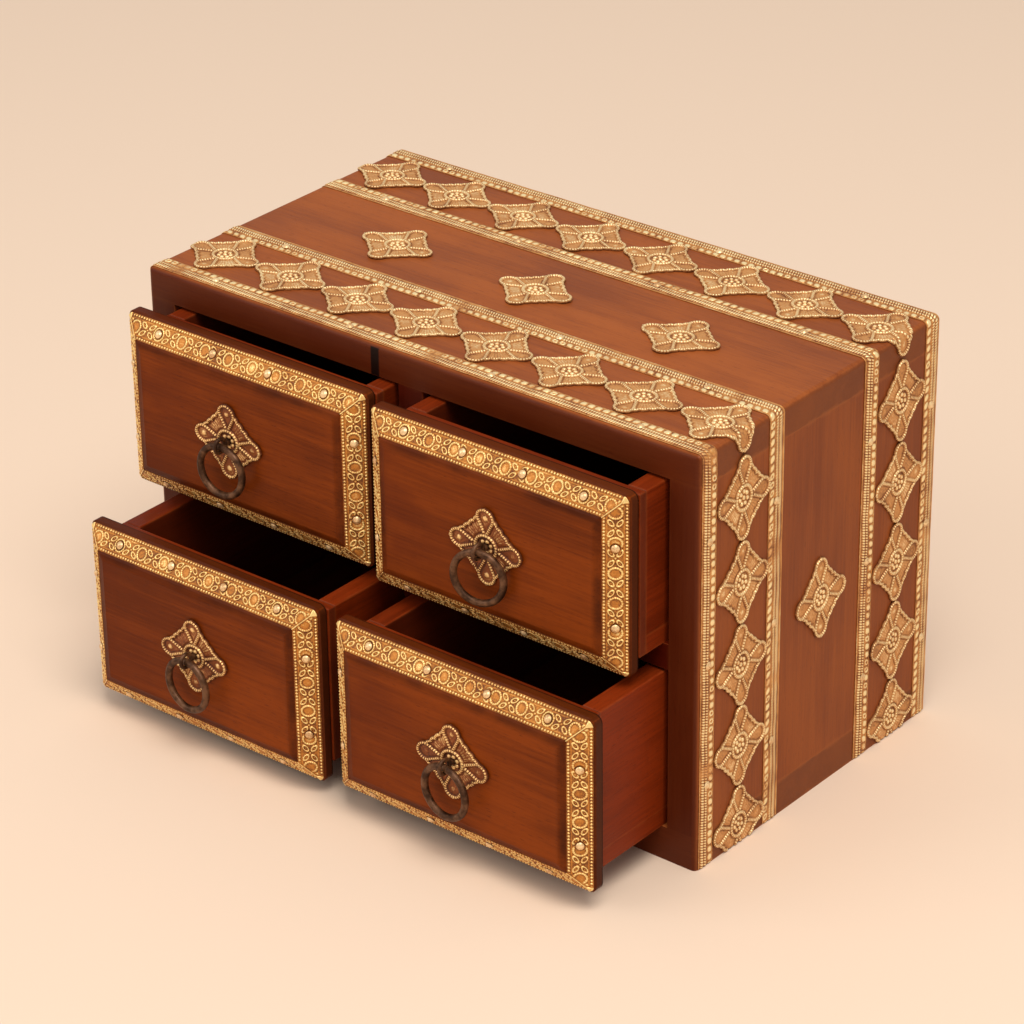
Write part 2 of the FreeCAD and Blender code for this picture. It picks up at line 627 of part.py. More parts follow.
def strap_nail_spots():
    """Where the strap nails sit, on the straps' outer faces, and which way their heads face."""
    across = named("CarcassWidth") / 2 + named("StrapThickness")
    level = named("CarcassHeight") + named("StrapThickness")
    on_top = round(named("CarcassWidth") / named("StrapNailPitch"))
    room = named("CarcassHeight") - named("SideNailDrop") - named("BottomThickness")
    on_side = 1 + math.floor(room / named("SideNailPitch"))
    spots = []
    for label, row in strap_rows.items():
        y = number(row) + number(strap_widths[label]) / 2
        for step in range(on_top):
            x = (step - (on_top - 1) / 2) * named("StrapNailPitch")
            spots.append((FreeCAD.Vector(x, y, level), FreeCAD.Vector(0, 0, 1)))
        for side in (-1, 1):
            for step in range(on_side):
                drop = named("SideNailDrop") + step * named("SideNailPitch")
                point = FreeCAD.Vector(side * across, y, named("CarcassHeight") - drop)
                spots.append((point, FreeCAD.Vector(side, 0, 0)))
    return spots


strap_spots = strap_nail_spots()
keep(add_shape("strap_nails", set_out(nail_shape(), strap_spots)), "strap_nails")
strap_holes = add_shape("strap_nail_holes", set_out(drill_shape(), strap_spots))

outer_boards = {
    "top_board": top,
    "bottom_board": bottom,
    "left_side_board": left,
    "right_side_board": right,
}
for label, blank in outer_boards.items():
    keep(cut_away(label, blank, strap_holes), label)


# ---- straps: embossed brass strip, laid over the top and bent down both sides ----
def add_strap(label, y):
    """A flat strip swept along the outline of the case, from one foot to the other."""
    body = doc.addObject("PartDesign::Body", f"{label}_blank")
    half = number("Sizes.CarcassWidth / 2")
    height = named("CarcassHeight")
    radius = named("EdgeRounding")
    foot = named("StrapFootGap")
    path = add_sketch(body, "XZ_Plane", f"{label}_path")
    lines = [
        ((-half, foot), (-half, height - radius)),
        ((radius - half, height), (half - radius, height)),
        ((half, height - radius), (half, foot)),
    ]
    for start, end in lines:
        path.addGeometry(Part.LineSegment(FreeCAD.Vector(*start), FreeCAD.Vector(*end)), False)
    for centre, begin in ((radius - half, math.pi / 2), (half - radius, 0)):
        middle = FreeCAD.Vector(centre, height - radius)
        circle = Part.Circle(middle, FreeCAD.Vector(0, 0, 1), radius)
        path.addGeometry(Part.ArcOfCircle(circle, begin, begin + math.pi / 2), False)
    for line, end, arc, start in ((0, 2, 3, 2), (1, 1, 3, 1), (1, 2, 4, 2), (2, 1, 4, 1)):
        path.addConstraint(Sketcher.Constraint("Tangent", line, end, arc, start))
    path.addConstraint(Sketcher.Constraint("Vertical", 0))
    path.addConstraint(Sketcher.Constraint("Horizontal", 1))
    path.addConstraint(Sketcher.Constraint("Vertical", 2))
    path.addConstraint(Sketcher.Constraint("Equal", 3, 4))
    path.addConstraint(Sketcher.Constraint("Symmetric", 0, 1, 2, 2, -2))
    fix(path, "Span", "DistanceX", 0, 1, 2, 2, "Sizes.CarcassWidth")
    fix(path, "Foot", "DistanceY", -1, 1, 0, 1, "Sizes.StrapFootGap")
    fix(path, "Level", "DistanceY", -1, 1, 1, 1, "Sizes.CarcassHeight")
    fix(path, "Bend", "Radius", 3, "Sizes.EdgeRounding")
    section = add_sketch(body, "XY_Plane", f"{label}_section", "Sizes.StrapFootGap")
    thick = named("StrapThickness")
    wide = number(strap_widths[label])
    corners = [(-half, 0), (-half, wide), (-half - thick, wide), (-half - thick, 0)]
    for turn in range(4):
        start = FreeCAD.Vector(*corners[turn])
        end = FreeCAD.Vector(*corners[(turn + 1) % 4])
        section.addGeometry(Part.LineSegment(start, end), False)
    for turn in range(4):
        section.addConstraint(Sketcher.Constraint("Coincident", turn, 2, (turn + 1) % 4, 1))
    for turn in (0, 2):
        section.addConstraint(Sketcher.Constraint("Vertical", turn))
    for turn in (1, 3):
        section.addConstraint(Sketcher.Constraint("Horizontal", turn))
    section.addConstraint(Sketcher.Constraint("PointOnObject", 0, 1, -1))
    fix(section, "Place", "DistanceX", 0, 1, -1, 1, "Sizes.CarcassWidth / 2")
    fix(section, "Width", "DistanceY", 0, 1, 0, 2, strap_widths[label])
    fix(section, "Thickness", "DistanceX", 1, 2, 1, 1, "Sizes.StrapThickness")
    doc.recompute()
    sweep = body.newObject("PartDesign::AdditivePipe", f"{label}_sweep")
    sweep.Profile = section
    sweep.Spine = (path, [f"Edge{edge + 1}" for edge in range(len(path.Shape.Edges))])
    place(body, "0", y, "0")
    doc.recompute()
    return keep(cut_away(label, body, strap_holes), label)


for label, y in strap_rows.items():
    add_strap(label, y)

# ---- rosettes on the case: a row between each pair of straps and single ones in the field ----
def side_rosette(shape, side, y, z):
    """A flat rosette turned onto the left or right side, cut off level with the straps' feet."""
    reach = number(ROSETTE_REACH)
    piece = shape.copy()
    piece.rotate(FreeCAD.Vector(0, 0, 0), FreeCAD.Vector(0, 1, 0), 90 * side)
    piece.translate(FreeCAD.Vector(side * named("CarcassWidth") / 2, y, z))
    if z - reach > named("StrapFootGap"):
        return [piece]
    corner = FreeCAD.Vector(piece.BoundBox.XMin - reach, y - reach * 2, named("StrapFootGap"))
    kept = Part.makeBox(reach * 4, reach * 4, named("CarcassHeight"), corner)
    return piece.common(kept).Solids


def rosette_band(first, second):
    """The rosettes between two straps: across the top, its end ones bent over, and down the sides."""
    near = number(f"{strap_rows[first]} + {strap_widths[first]}")
    far = number(strap_rows[second])
    y = (near + far) / 2
    across = (far - near) / 2 - named("RosetteStrapGap")
    flat = rosette_shape(across)
    level = named("CarcassHeight")
    pitch = named("RosettePitch")
    reach = number(ROSETTE_REACH)
    flat_end = named("CarcassWidth") / 2 - named("EdgeRounding")
    bend = level - named("EdgeRounding")
    on_top = round(named("CarcassWidth") / pitch)
    solids = []
    for step in range(on_top):
        x = (step - (on_top - 1) / 2) * pitch + named("RowShift")
        if abs(x) + reach > flat_end:
            solids += folded_rosette(x, y, math.copysign(1, x), across).Solids
        else:
            piece = flat.copy()
            piece.translate(FreeCAD.Vector(x, y, level))
            solids.append(piece)
    for side in (-1, 1):
        last = (on_top - 1) / 2 * pitch + side * named("RowShift")
        highest = bend + number(WRAP) - last - pitch - named("CornerStep")
        room = highest + reach - named("StrapFootGap")
        for step in range(math.floor(room / pitch + 0.7)):
            solids += side_rosette(flat, side, y, highest - step * pitch)
    return Part.makeCompound(solids)


front_band = rosette_band("front_edge_strap", "front_inner_strap")
back_band = rosette_band("back_inner_strap", "back_edge_strap")
keep(add_shape("front_band_rosettes", front_band), "front_band_rosettes")
keep(add_shape("back_band_rosettes", back_band), "back_band_rosettes")


def field_rosettes():
    """The single rosettes between the inner straps: a row on top and one on each side."""
    near = number(f"{strap_rows['front_inner_strap']} + {strap_widths['front_inner_strap']}")
    far = number(strap_rows["back_inner_strap"])
    y = (near + far) / 2
    flat = rosette_shape(named("SingleRosetteReach"))
    level = named("CarcassHeight")
    pitch = named("FieldPitch")
    on_top = math.floor(named("CarcassWidth") / pitch)
    solids = []
    for step in range(on_top):
        single = flat.copy()
        x = (step - (on_top - 1) / 2) * pitch
        single.translate(FreeCAD.Vector(x, y + named("FieldShift"), level))
        solids.append(single)
    for side in (-1, 1):
        solids += side_rosette(flat, side, y, level / 2 + named("SideFieldRise"))
    return Part.makeCompound(solids)


keep(add_shape("field_rosettes", field_rosettes()), "field_rosettes")


# ---- drawers ----
def bore(body, name, across, up):
    """The split pin's hole, bored front to back through a body."""
    sketch = add_sketch(body, "XZ_Plane", f"{name}_bore")
    draw_circle(sketch, across, up, "Sizes.PinRadius + Sizes.PinHoleGap")
    pocket = body.newObject("PartDesign::Pocket", f"{name}_pocket")
    pocket.Profile = sketch
    pocket.Type = "ThroughAll"
    pocket.SideType = "Symmetric"
    doc.recompute()


def add_face(label, face_width, height, pull_x, pull_z):
    """A fielded board: a rim with round corners, then a bevel and a shoulder up to a flat field."""
    body = doc.addObject("PartDesign::Body", f"{label}_blank")
    rim = add_sketch(body, "XZ_Plane", f"{label}_rim")
    draw_rounded_rectangle(rim, face_width, height, "Sizes.FaceCorner")
    pad = body.newObject("PartDesign::Pad", f"{label}_pad")
    pad.Profile = rim
    pad.setExpression("Length", "Sizes.FaceRim")
    steps = [
        ("bevel_foot", "Sizes.FaceRim", "0", "Sizes.FaceCorner"),
        ("bevel_top", "Sizes.FaceRim + Sizes.BevelRise", "Sizes.BevelWidth", "Sizes.FieldCorner"),
        ("field", FACE_RISE, "(Sizes.BevelWidth + Sizes.ShoulderWidth)", "Sizes.FieldCorner"),
    ]
    sections = []
    for step, forward, inset, corner in steps:
        section = add_sketch(body, "XZ_Plane", f"{label}_{step}", forward)
        width = f"{face_width} - 2 * {inset}"
        draw_rounded_rectangle(section, width, f"{height} - 2 * {inset}", corner)
        sections.append(section)
    doc.recompute()
    loft = body.newObject("PartDesign::AdditiveLoft", f"{label}_bevel")
    loft.Profile = sections[0]
    loft.Sections = sections[1:]
    loft.Ruled = True
    doc.recompute()
    bore(body, label, pull_x, pull_z)
    return body


def trim_corners(inset, half_width, half_height):
    """The four corners of a rectangle on the bevel, a stated inset from the rim."""
    forward = -named("FaceRim") - inset * named("BevelRise") / named("BevelWidth")
    x = half_width - inset
    z = half_height - inset
    return [FreeCAD.Vector(sx * x, forward, sz * z) for sx, sz in ((-1, 1), (1, 1), (1, -1), (-1, -1))]


def trim_pieces(half_width, half_height):
    """Four mitred strips on the bevels, and where their nails sit."""
    outer = trim_corners(named("TrimMargin"), half_width, half_height)
    inner = trim_corners(named("TrimMargin") + number(TRIM_WIDTH), half_width, half_height)
    strips = []
    spots = []
    for side in range(4):
        after = (side + 1) % 4
        quad = [outer[side], outer[after], inner[after], inner[side]]
        normal = (outer[after] - outer[side]).cross(inner[side] - outer[side])
        normal.normalize()
        if normal.y > 0:
            normal = -normal
        face = Part.Face(Part.makePolygon(quad + quad[:1]))
        strips.append(face.extrude(normal * named("TrimThickness")))
        start = (outer[side] + inner[side]) * 0.5
        end = (outer[after] + inner[after]) * 0.5
        count = round((end - start).Length / named("TrimNailPitch"))
        for step in range(count):
            share = (step + 0.5) / count
            point = start + (end - start) * share + normal * named("TrimThickness")
            spots.append((point, normal))
    return Part.makeCompound(strips), spots


def add_pin(label):
    """The split pin: an eye, a shank through the boards, and two legs bent apart behind them."""
    inner_face = f"({EYE_REACH} + Sizes.BoxFrontThickness)"
    eye = doc.addObject("Part::Torus", f"{label}_eye")
    eye.setExpression("Radius1", "Sizes.EyeRadius")
    eye.setExpression("Radius2", "Sizes.EyeWireRadius")
    across = FreeCAD.Rotation(FreeCAD.Vector(0, 1, 0), 90)
    eye.Placement = FreeCAD.Placement(FreeCAD.Vector(), across)
    shank = doc.addObject("Part::Cylinder", f"{label}_shank")
    shank.setExpression("Radius", "Sizes.PinRadius")
    shank.setExpression("Height", f"{inner_face} - Sizes.EyeRadius + Sizes.TailThickness / 2")
    backwards = FreeCAD.Rotation(FreeCAD.Vector(1, 0, 0), -90)
    shank.Placement = FreeCAD.Placement(FreeCAD.Vector(), backwards)
    shank.setExpression("Placement.Base.y", "Sizes.EyeRadius")
    legs = doc.addObject("Part::Box", f"{label}_legs")
    legs.setExpression("Length", "2 * Sizes.TailLength")
    legs.setExpression("Width", "Sizes.TailThickness")
    legs.setExpression("Height", "Sizes.TailWidth")
    place(legs, "-Sizes.TailLength", inner_face, "-Sizes.TailWidth / 2")
    pin = doc.addObject("Part::MultiFuse", label)
    pin.Shapes = [eye, shank, legs]
    pin.Refine = True
    doc.recompute()
    return pin


def add_ring(label, yaw):
    """A plain iron ring, a round wire turned about Y, centred on its own origin and turned a little."""
    body = doc.addObject("PartDesign::Body", label)
    wire = add_sketch(body, "XY_Plane", f"{label}_wire")
    draw_circle(wire, "Sizes.RingRadius", "0", "Sizes.RingWireRadius")
    ring = body.newObject("PartDesign::Revolution", f"{label}_turn")
    ring.Profile = wire
    ring.ReferenceAxis = (wire, ["V_Axis"])
    ring.Angle = 360
    doc.recompute()
    upright = FreeCAD.Vector(0, 0, 1)
    body.Placement = FreeCAD.Placement(FreeCAD.Vector(), FreeCAD.Rotation(upright, named(yaw)))
    body.setExpression("Placement.Rotation.Angle", f"Sizes.{yaw} * pi / 180 * 1 rad")
    return body


def top_edges(middle, along, box):
    """The edges round the top face."""
    return middle.z > box.ZMax - 1e-6


def add_drawer(name, prefix, side, floor):
    """One drawer: a box of five boards, a fielded face with brass trim, and a ring handle."""
    x = f"({side} * ({CELL_WIDTH} + Sizes.DividerThickness) / 2)"
    y = f"({FRONT_Y} - Sizes.{prefix}Pull)"
    z = f"({floor} + Sizes.DrawerSlideGap)"
    drop = f"Sizes.{prefix}Drop"
    left_x = f"{x} - {BOX_WIDTH} / 2"
    behind = f"{y} + Sizes.BoxFrontThickness"
    inside = f"({BOX_LENGTH} - Sizes.BoxFrontThickness)"
    wall_z = f"{z} + Sizes.BoxBottomThickness"
    wall_height = f"({BOX_HEIGHT} - Sizes.BoxBottomThickness)"
    lift = f"Sizes.{prefix}Lift"
    left_lap = f"Sizes.{prefix}LeftLap"
    right_lap = f"Sizes.{prefix}RightLap"
    face_width = f"({BOX_WIDTH} + {left_lap} + {right_lap})"
    face_height = f"({BOX_HEIGHT} + {lift} + {drop})"
    face_x = f"(({right_lap} - {left_lap}) / 2)"
    face_z = f"(({BOX_HEIGHT} + {lift} - {drop}) / 2)"
    pull_x = f"Sizes.{prefix}PullX"
    pull_z = f"Sizes.{prefix}PullZ"

    front = add_board(
        f"{name}_box_front", BOX_WIDTH, "Sizes.BoxFrontThickness", BOX_HEIGHT, left_x, y, z,
    )
    round_edges(front, "Sizes.DrawerRounding", top_edges)
    bore_x = f"{BOX_WIDTH} / 2 + {face_x} + {pull_x}"
    bore(front, f"{name}_box_front", bore_x, f"{face_z} + {pull_z}")
    keep(front, f"{name}_box_front")

    floor_board = add_board(
        f"{name}_box_bottom", BOX_WIDTH, inside, "Sizes.BoxBottomThickness", left_x, behind, z,
    )
    keep(floor_board, f"{name}_box_bottom")

    right_x = f"{x} + {BOX_WIDTH} / 2 - Sizes.BoxSideThickness"
    for end, corner in (("left", left_x), ("right", right_x)):
        wall = add_board(
            f"{name}_box_{end}", "Sizes.BoxSideThickness", inside, wall_height,
            corner, behind, wall_z,
        )
        round_edges(wall, "Sizes.DrawerRounding", top_edges)
        keep(wall, f"{name}_box_{end}")

    rear = add_board(
        f"{name}_box_back", f"{BOX_WIDTH} - 2 * Sizes.BoxSideThickness", "Sizes.BoxBackThickness",
        wall_height, f"{left_x} + Sizes.BoxSideThickness",
        f"{y} + {BOX_LENGTH} - Sizes.BoxBackThickness", wall_z,
    )
    round_edges(rear, "Sizes.DrawerRounding", top_edges)
    keep(rear, f"{name}_box_back")

    middle_x = f"{x} + {face_x}"
    middle_z = f"{z} + {face_z}"
    corner = FreeCAD.Vector(number(middle_x), number(y), number(middle_z))
    strips, spots = trim_pieces(number(face_width) / 2, number(face_height) / 2)
    holes = add_shape(f"{name}_nail_holes", set_out(drill_shape(), spots))
    holes.Placement.Base = corner
    trim_blank = add_shape(f"{name}_trim_blank", strips)
    trim_blank.Placement.Base = corner
    nails = add_shape(f"{name}_trim_nails", set_out(nail_shape(), spots))
    nails.Placement.Base = corner
    face = add_face(f"{name}_face", face_width, face_height, pull_x, pull_z)
    place(face, middle_x, y, middle_z)
    keep(cut_away(f"{name}_face_board", face, holes), f"{name}_face_board")
    keep(cut_away(f"{name}_trim", trim_blank, holes), f"{name}_trim")
    keep(nails, f"{name}_trim_nails")

    rosette = rosette_shape(named("SingleRosetteReach"))
    hole = Part.makeCylinder(named("PinRadius") + named("PinHoleGap"), number(ROSETTE_REACH))
    rosette = rosette.cut(hole)
    rosette.rotate(FreeCAD.Vector(0, 0, 0), FreeCAD.Vector(1, 0, 0), 90)
    plate = add_shape(f"{name}_pull_rosette", rosette)
    handle = FreeCAD.Vector(named(f"{prefix}PullX"), -number(FACE_RISE), named(f"{prefix}PullZ"))
    plate.Placement.Base = corner + handle
    keep(plate, f"{name}_pull_rosette")

    handle_x = f"{middle_x} + {pull_x}"
    handle_y = f"{y} - {EYE_REACH}"
    handle_z = f"{middle_z} + {pull_z}"
    pin = add_pin(f"{name}_split_pin")
    place(pin, handle_x, handle_y, handle_z)
    keep(pin, f"{name}_split_pin")
    ring = add_ring(f"{name}_ring", f"{prefix}RingYaw")
    place(ring, handle_x, handle_y, f"{handle_z} - {RING_SEAT} - Sizes.RingRadius")
    keep(ring, f"{name}_ring")


add_drawer("upper_left", "UpperLeft", "-1", UPPER_Z)
add_drawer("upper_right", "UpperRight", "1", UPPER_Z)
add_drawer("lower_left", "LowerLeft", "-1", "Sizes.BottomThickness")
add_drawer("lower_right", "LowerRight", "1", "Sizes.BottomThickness")

# ---- check every object, then write each sub-part ----
doc.recompute()
for item in doc.Objects:
    if "Invalid" in item.State or "Error" in item.State:
        raise RuntimeError(f"{item.Label} failed to build: {item.State}")
for piece in nodes:
    if piece.Shape.isNull() or not piece.Shape.isValid() or not piece.Shape.Solids:
        raise RuntimeError(f"{piece.Label} has no sound shape")
for piece in nodes:
    piece.Shape.exportStep(f"parts/{piece.Label}.step")
    box = piece.Shape.BoundBox
    low = f"{box.XMin:.2f} {box.YMin:.2f} {box.ZMin:.2f}"
    high = f"{box.XMax:.2f} {box.YMax:.2f} {box.ZMax:.2f}"
    print(f"{piece.Label}: {len(piece.Shape.Solids)} solids, {low} to {high}")
print(f"{len(nodes)} sub-parts written")
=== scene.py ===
import math

import bpy
import numpy as np
from mathutils import Matrix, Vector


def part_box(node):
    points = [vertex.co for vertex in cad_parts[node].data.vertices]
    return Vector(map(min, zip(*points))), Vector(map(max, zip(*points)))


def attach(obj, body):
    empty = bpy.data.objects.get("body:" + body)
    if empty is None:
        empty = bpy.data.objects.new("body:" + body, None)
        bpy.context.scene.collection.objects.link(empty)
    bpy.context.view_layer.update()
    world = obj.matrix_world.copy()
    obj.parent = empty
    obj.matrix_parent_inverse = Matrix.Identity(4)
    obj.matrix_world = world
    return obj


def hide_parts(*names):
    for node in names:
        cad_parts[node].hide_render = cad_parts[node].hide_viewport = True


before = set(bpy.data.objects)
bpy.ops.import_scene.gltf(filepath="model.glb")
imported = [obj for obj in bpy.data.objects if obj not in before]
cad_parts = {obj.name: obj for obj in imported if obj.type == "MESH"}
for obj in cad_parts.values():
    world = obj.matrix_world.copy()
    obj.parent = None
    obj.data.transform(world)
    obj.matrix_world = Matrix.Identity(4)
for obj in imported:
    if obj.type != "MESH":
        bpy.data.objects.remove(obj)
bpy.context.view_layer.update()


# ---------------------------------------------------------------- case boards
# The case is a carcass of reddish hardwood boards, butted, glued and waxed, with a shelf and
# two dividers that make four openings. The grain of each board runs along its length, and the
# cut ends of the top and bottom boards show at the sides as darker bands.

def stained(red, green, blue):
    """A colour as it looks on a screen, 0 to 255, turned into the light it stands for."""
    part = np.array([red, green, blue]) / 255
    light = np.where(part <= 0.04045, part / 12.92, ((part + 0.055) / 1.055) ** 2.4)
    return (*light.tolist(), 1.0)


def add_node(tree, kind, inputs=None, **settings):
    """Adds one shader node; an input is a plain value or another node's socket to link."""
    node = tree.nodes.new(kind)
    for key, value in settings.items():
        setattr(node, key, value)
    for key, value in (inputs or {}).items():
        if isinstance(value, bpy.types.NodeSocket):
            tree.links.new(value, node.inputs[key])
        else:
            node.inputs[key].default_value = value
    return node


def wire(tree, node, sockets):
    """Links each socket to the node's input of that name."""
    for key, socket in sockets.items():
        tree.links.new(socket, node.inputs[key])


def math_node(tree, how, *terms):
    """One step of arithmetic on numbers; gives the socket of its answer."""
    return add_node(tree, "ShaderNodeMath", dict(enumerate(terms)), operation=how).outputs[0]


def product_node(tree, first, *others):
    """All the numbers multiplied together."""
    for other in others:
        first = math_node(tree, "MULTIPLY", first, other)
    return first


def weighted_node(tree, *parts):
    """The sum of the sockets, each times its weight."""
    total = 0.0
    for socket, weight in parts:
        total = math_node(tree, "MULTIPLY_ADD", socket, weight, total)
    return total


def vector_node(tree, how, *terms):
    """One step of arithmetic on vectors; gives the socket of its answer."""
    return add_node(tree, "ShaderNodeVectorMath", dict(enumerate(terms)), operation=how).outputs[0]


def off_node(tree, place, middle):
    """How far a place is from a middle along each axis, without sign."""
    return vector_node(tree, "ABSOLUTE", vector_node(tree, "SUBTRACT", place, middle))


def split_node(tree, vector):
    """The x, y and z of a vector, as three sockets."""
    return add_node(tree, "ShaderNodeSeparateXYZ", {0: vector}).outputs


def facing_node(tree, normal, way):
    """How squarely a normal faces a way, which is their dot product: 1 where it points there."""
    node = add_node(tree, "ShaderNodeVectorMath", {0: normal, 1: way}, operation="DOT_PRODUCT")
    return node.outputs[1]


def blend_node(tree, share, first, second):
    """First colour where share is 0, second where it is 1."""
    node = add_node(tree, "ShaderNodeMix", {0: share, 6: first, 7: second}, data_type="RGBA")
    return node.outputs[2]


def spread_node(tree, value, low, high, to_low=0.0, to_high=1.0):
    """Carries the stretch low..high of a value smoothly to to_low..to_high."""
    return add_node(
        tree, "ShaderNodeMapRange",
        {0: value, 1: low, 2: high, 3: to_low, 4: to_high},
        interpolation_type="SMOOTHSTEP",
    ).outputs[0]


def noise_node(tree, place, stretch, detail=2.0, rough=0.5, warp=0.0):
    """Noise on a place in metres, first multiplied by stretch: lumps per metre on each axis."""
    scaled = vector_node(tree, "MULTIPLY", place, stretch)
    return add_node(
        tree, "ShaderNodeTexNoise",
        {"Vector": scaled, "Scale": 1.0, "Detail": detail, "Roughness": rough, "Distortion": warp},
    ).outputs[0]


def bump_node(tree, height, strength, depth):
    """The normal of a surface roughened by a height, where a height of 1 is that depth in m."""
    return add_node(
        tree, "ShaderNodeBump", {"Height": height, "Strength": strength, "Distance": depth}
    ).outputs[0]


def new_group(name, takes, gives):
    """An empty node group with the named sockets; gives the tree, its inputs and its end node."""
    tree = bpy.data.node_groups.new(name, "ShaderNodeTree")
    kinds = {"vector": "NodeSocketVector", "colour": "NodeSocketColor", "number": "NodeSocketFloat"}
    for way, sockets in (("INPUT", takes), ("OUTPUT", gives)):
        for key, kind in sockets.items():
            tree.interface.new_socket(name=key, in_out=way, socket_type=kinds[kind])
    start = tree.nodes.new("NodeGroupInput")
    return tree, start.outputs, tree.nodes.new("NodeGroupOutput")


def use_group(tree, group, inputs):
    """Puts a finished group into a material and gives its outputs."""
    return add_node(tree, "ShaderNodeGroup", inputs, node_tree=group).outputs


def new_material(name):
    """A material with its node tree and its shader, still as Blender makes them."""
    material = bpy.data.materials.new(name)
    material.use_nodes = True
    return material, material.node_tree, material.node_tree.nodes["Principled BSDF"]


# Figure of the wood: wide soft streaks 9 mm across, fine streaks 1 mm across, and short dark
# pores, all drawn out along x, over clouds some 50 mm wide. The streaks are faint under wax.
grain_tree, taken, given = new_group(
    "board_grain",
    {"Place": "vector", "Pale": "colour", "Deep": "colour"},
    {"Color": "colour", "Roughness": "number", "Height": "number"},
)
broad = noise_node(grain_tree, taken["Place"], (7, 110, 110), 3.0, 0.55, 0.8)
fine = noise_node(grain_tree, taken["Place"], (40, 1100, 1100), 2.0, 0.6)
cloud = noise_node(grain_tree, taken["Place"], (13, 24, 24), 3.0, 0.55)
pores = spread_node(
    grain_tree, noise_node(grain_tree, taken["Place"], (260, 3600, 3600), 1.0), 0.62, 0.74
)
tone = weighted_node(grain_tree, (broad, 0.28), (fine, 0.26), (cloud, 0.46))
figure = blend_node(
    grain_tree, spread_node(grain_tree, tone, 0.36, 0.64), taken["Deep"], taken["Pale"]
)
in_pore = blend_node(grain_tree, 0.6, taken["Deep"], (0.02, 0.004, 0.001, 1))
dulled = weighted_node(grain_tree, (cloud, 1.0), (fine, 0.4))
wire(grain_tree, given, {
    "Color": blend_node(grain_tree, product_node(grain_tree, pores, 0.5), figure, in_pore),
    "Roughness": spread_node(grain_tree, dulled, 0.45, 0.95, 0.34, 0.48),
    "Height": weighted_node(grain_tree, (fine, 0.4), (pores, -1.0)),
})

# Rubbed arrises: how close a point is to the board's nearest edge. The gap to each pair of
# faces is half the size less the distance from the middle; on a face one gap is nothing, so
# the middle one of the three is the distance to the edge.
edge_tree, taken, given = new_group(
    "near_edge",
    {"Place": "vector", "Middle": "vector", "Half": "vector", "Width": "number"},
    {"Mask": "number"},
)
gaps = split_node(edge_tree, vector_node(
    edge_tree, "SUBTRACT", taken["Half"], off_node(edge_tree, taken["Place"], taken["Middle"])
))
middle_gap = math_node(
    edge_tree, "MAXIMUM",
    math_node(edge_tree, "MINIMUM", gaps[0], gaps[1]),
    math_node(edge_tree, "MINIMUM", math_node(edge_tree, "MAXIMUM", gaps[0], gaps[1]), gaps[2]),
)
ragged = product_node(
    edge_tree, taken["Width"],
    spread_node(edge_tree, noise_node(edge_tree, taken["Place"], (160, 160, 160), 3.0), 0.3, 0.7),
)
rubbed_until = math_node(edge_tree, "ADD", ragged, 0.0002)
wire(edge_tree, given, {"Mask": spread_node(edge_tree, middle_gap, 0.0, rubbed_until, 1.0, 0.0)})


def wood_material(board, along, pale, deep, rubbed=0.35, rubbed_width=0.0018):
    """Waxed wood for one board: the grain is turned to run along the axis named, faces square
    to that axis are end grain and darker, and the arrises are rubbed paler, by that share and
    over that width in metres."""
    material, tree, shader = new_material(board + "_wood")
    spot = tree.nodes.new("ShaderNodeTexCoord").outputs
    turn, axis = {
        "x": ((0, 0, 0), (1, 0, 0)),
        "y": ((0, 0, -math.pi / 2), (0, 1, 0)),
        "z": ((0, math.pi / 2, 0), (0, 0, 1)),
    }[along]
    laid = add_node(
        tree, "ShaderNodeMapping", {"Vector": spot["Object"], "Rotation": turn}
    ).outputs[0]
    low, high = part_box(board)
    # Each board is cut from a place of its own in the figure.
    shift = vector_node(tree, "ADD", laid, (low.x * 3.1, low.y * 5.3 + high.z, low.z * 7.7))
    grain = use_group(tree, grain_tree, {"Place": shift, "Pale": pale, "Deep": deep})
    facing = facing_node(tree, spot["Normal"], axis)
    cut_end = spread_node(tree, math_node(tree, "ABSOLUTE", facing), 0.6, 0.95)
    end_tone = blend_node(tree, 0.4, deep, (0.05, 0.028, 0.016, 1))
    body = blend_node(tree, product_node(tree, cut_end, 0.62), grain["Color"], end_tone)
    near = use_group(tree, edge_tree, {
        "Place": spot["Object"], "Middle": tuple((low + high) / 2),
        "Half": tuple((high - low) / 2), "Width": rubbed_width,
    })["Mask"]
    worn = blend_node(tree, 0.5, pale, stained(176, 104, 52))
    colour = blend_node(tree, product_node(tree, near, rubbed), body, worn)
    wire(tree, shader, {
        "Base Color": colour, "Roughness": grain["Roughness"],
        "Normal": bump_node(tree, grain["Height"], 0.2, 0.0002),
    })
    shader.inputs["Specular IOR Level"].default_value = 0.12
    return material, tree, shader, colour, spot


def dress(node, material):
    """Puts a material on every slot of a CAD node."""
    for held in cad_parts[node].material_slots:
        held.material = material


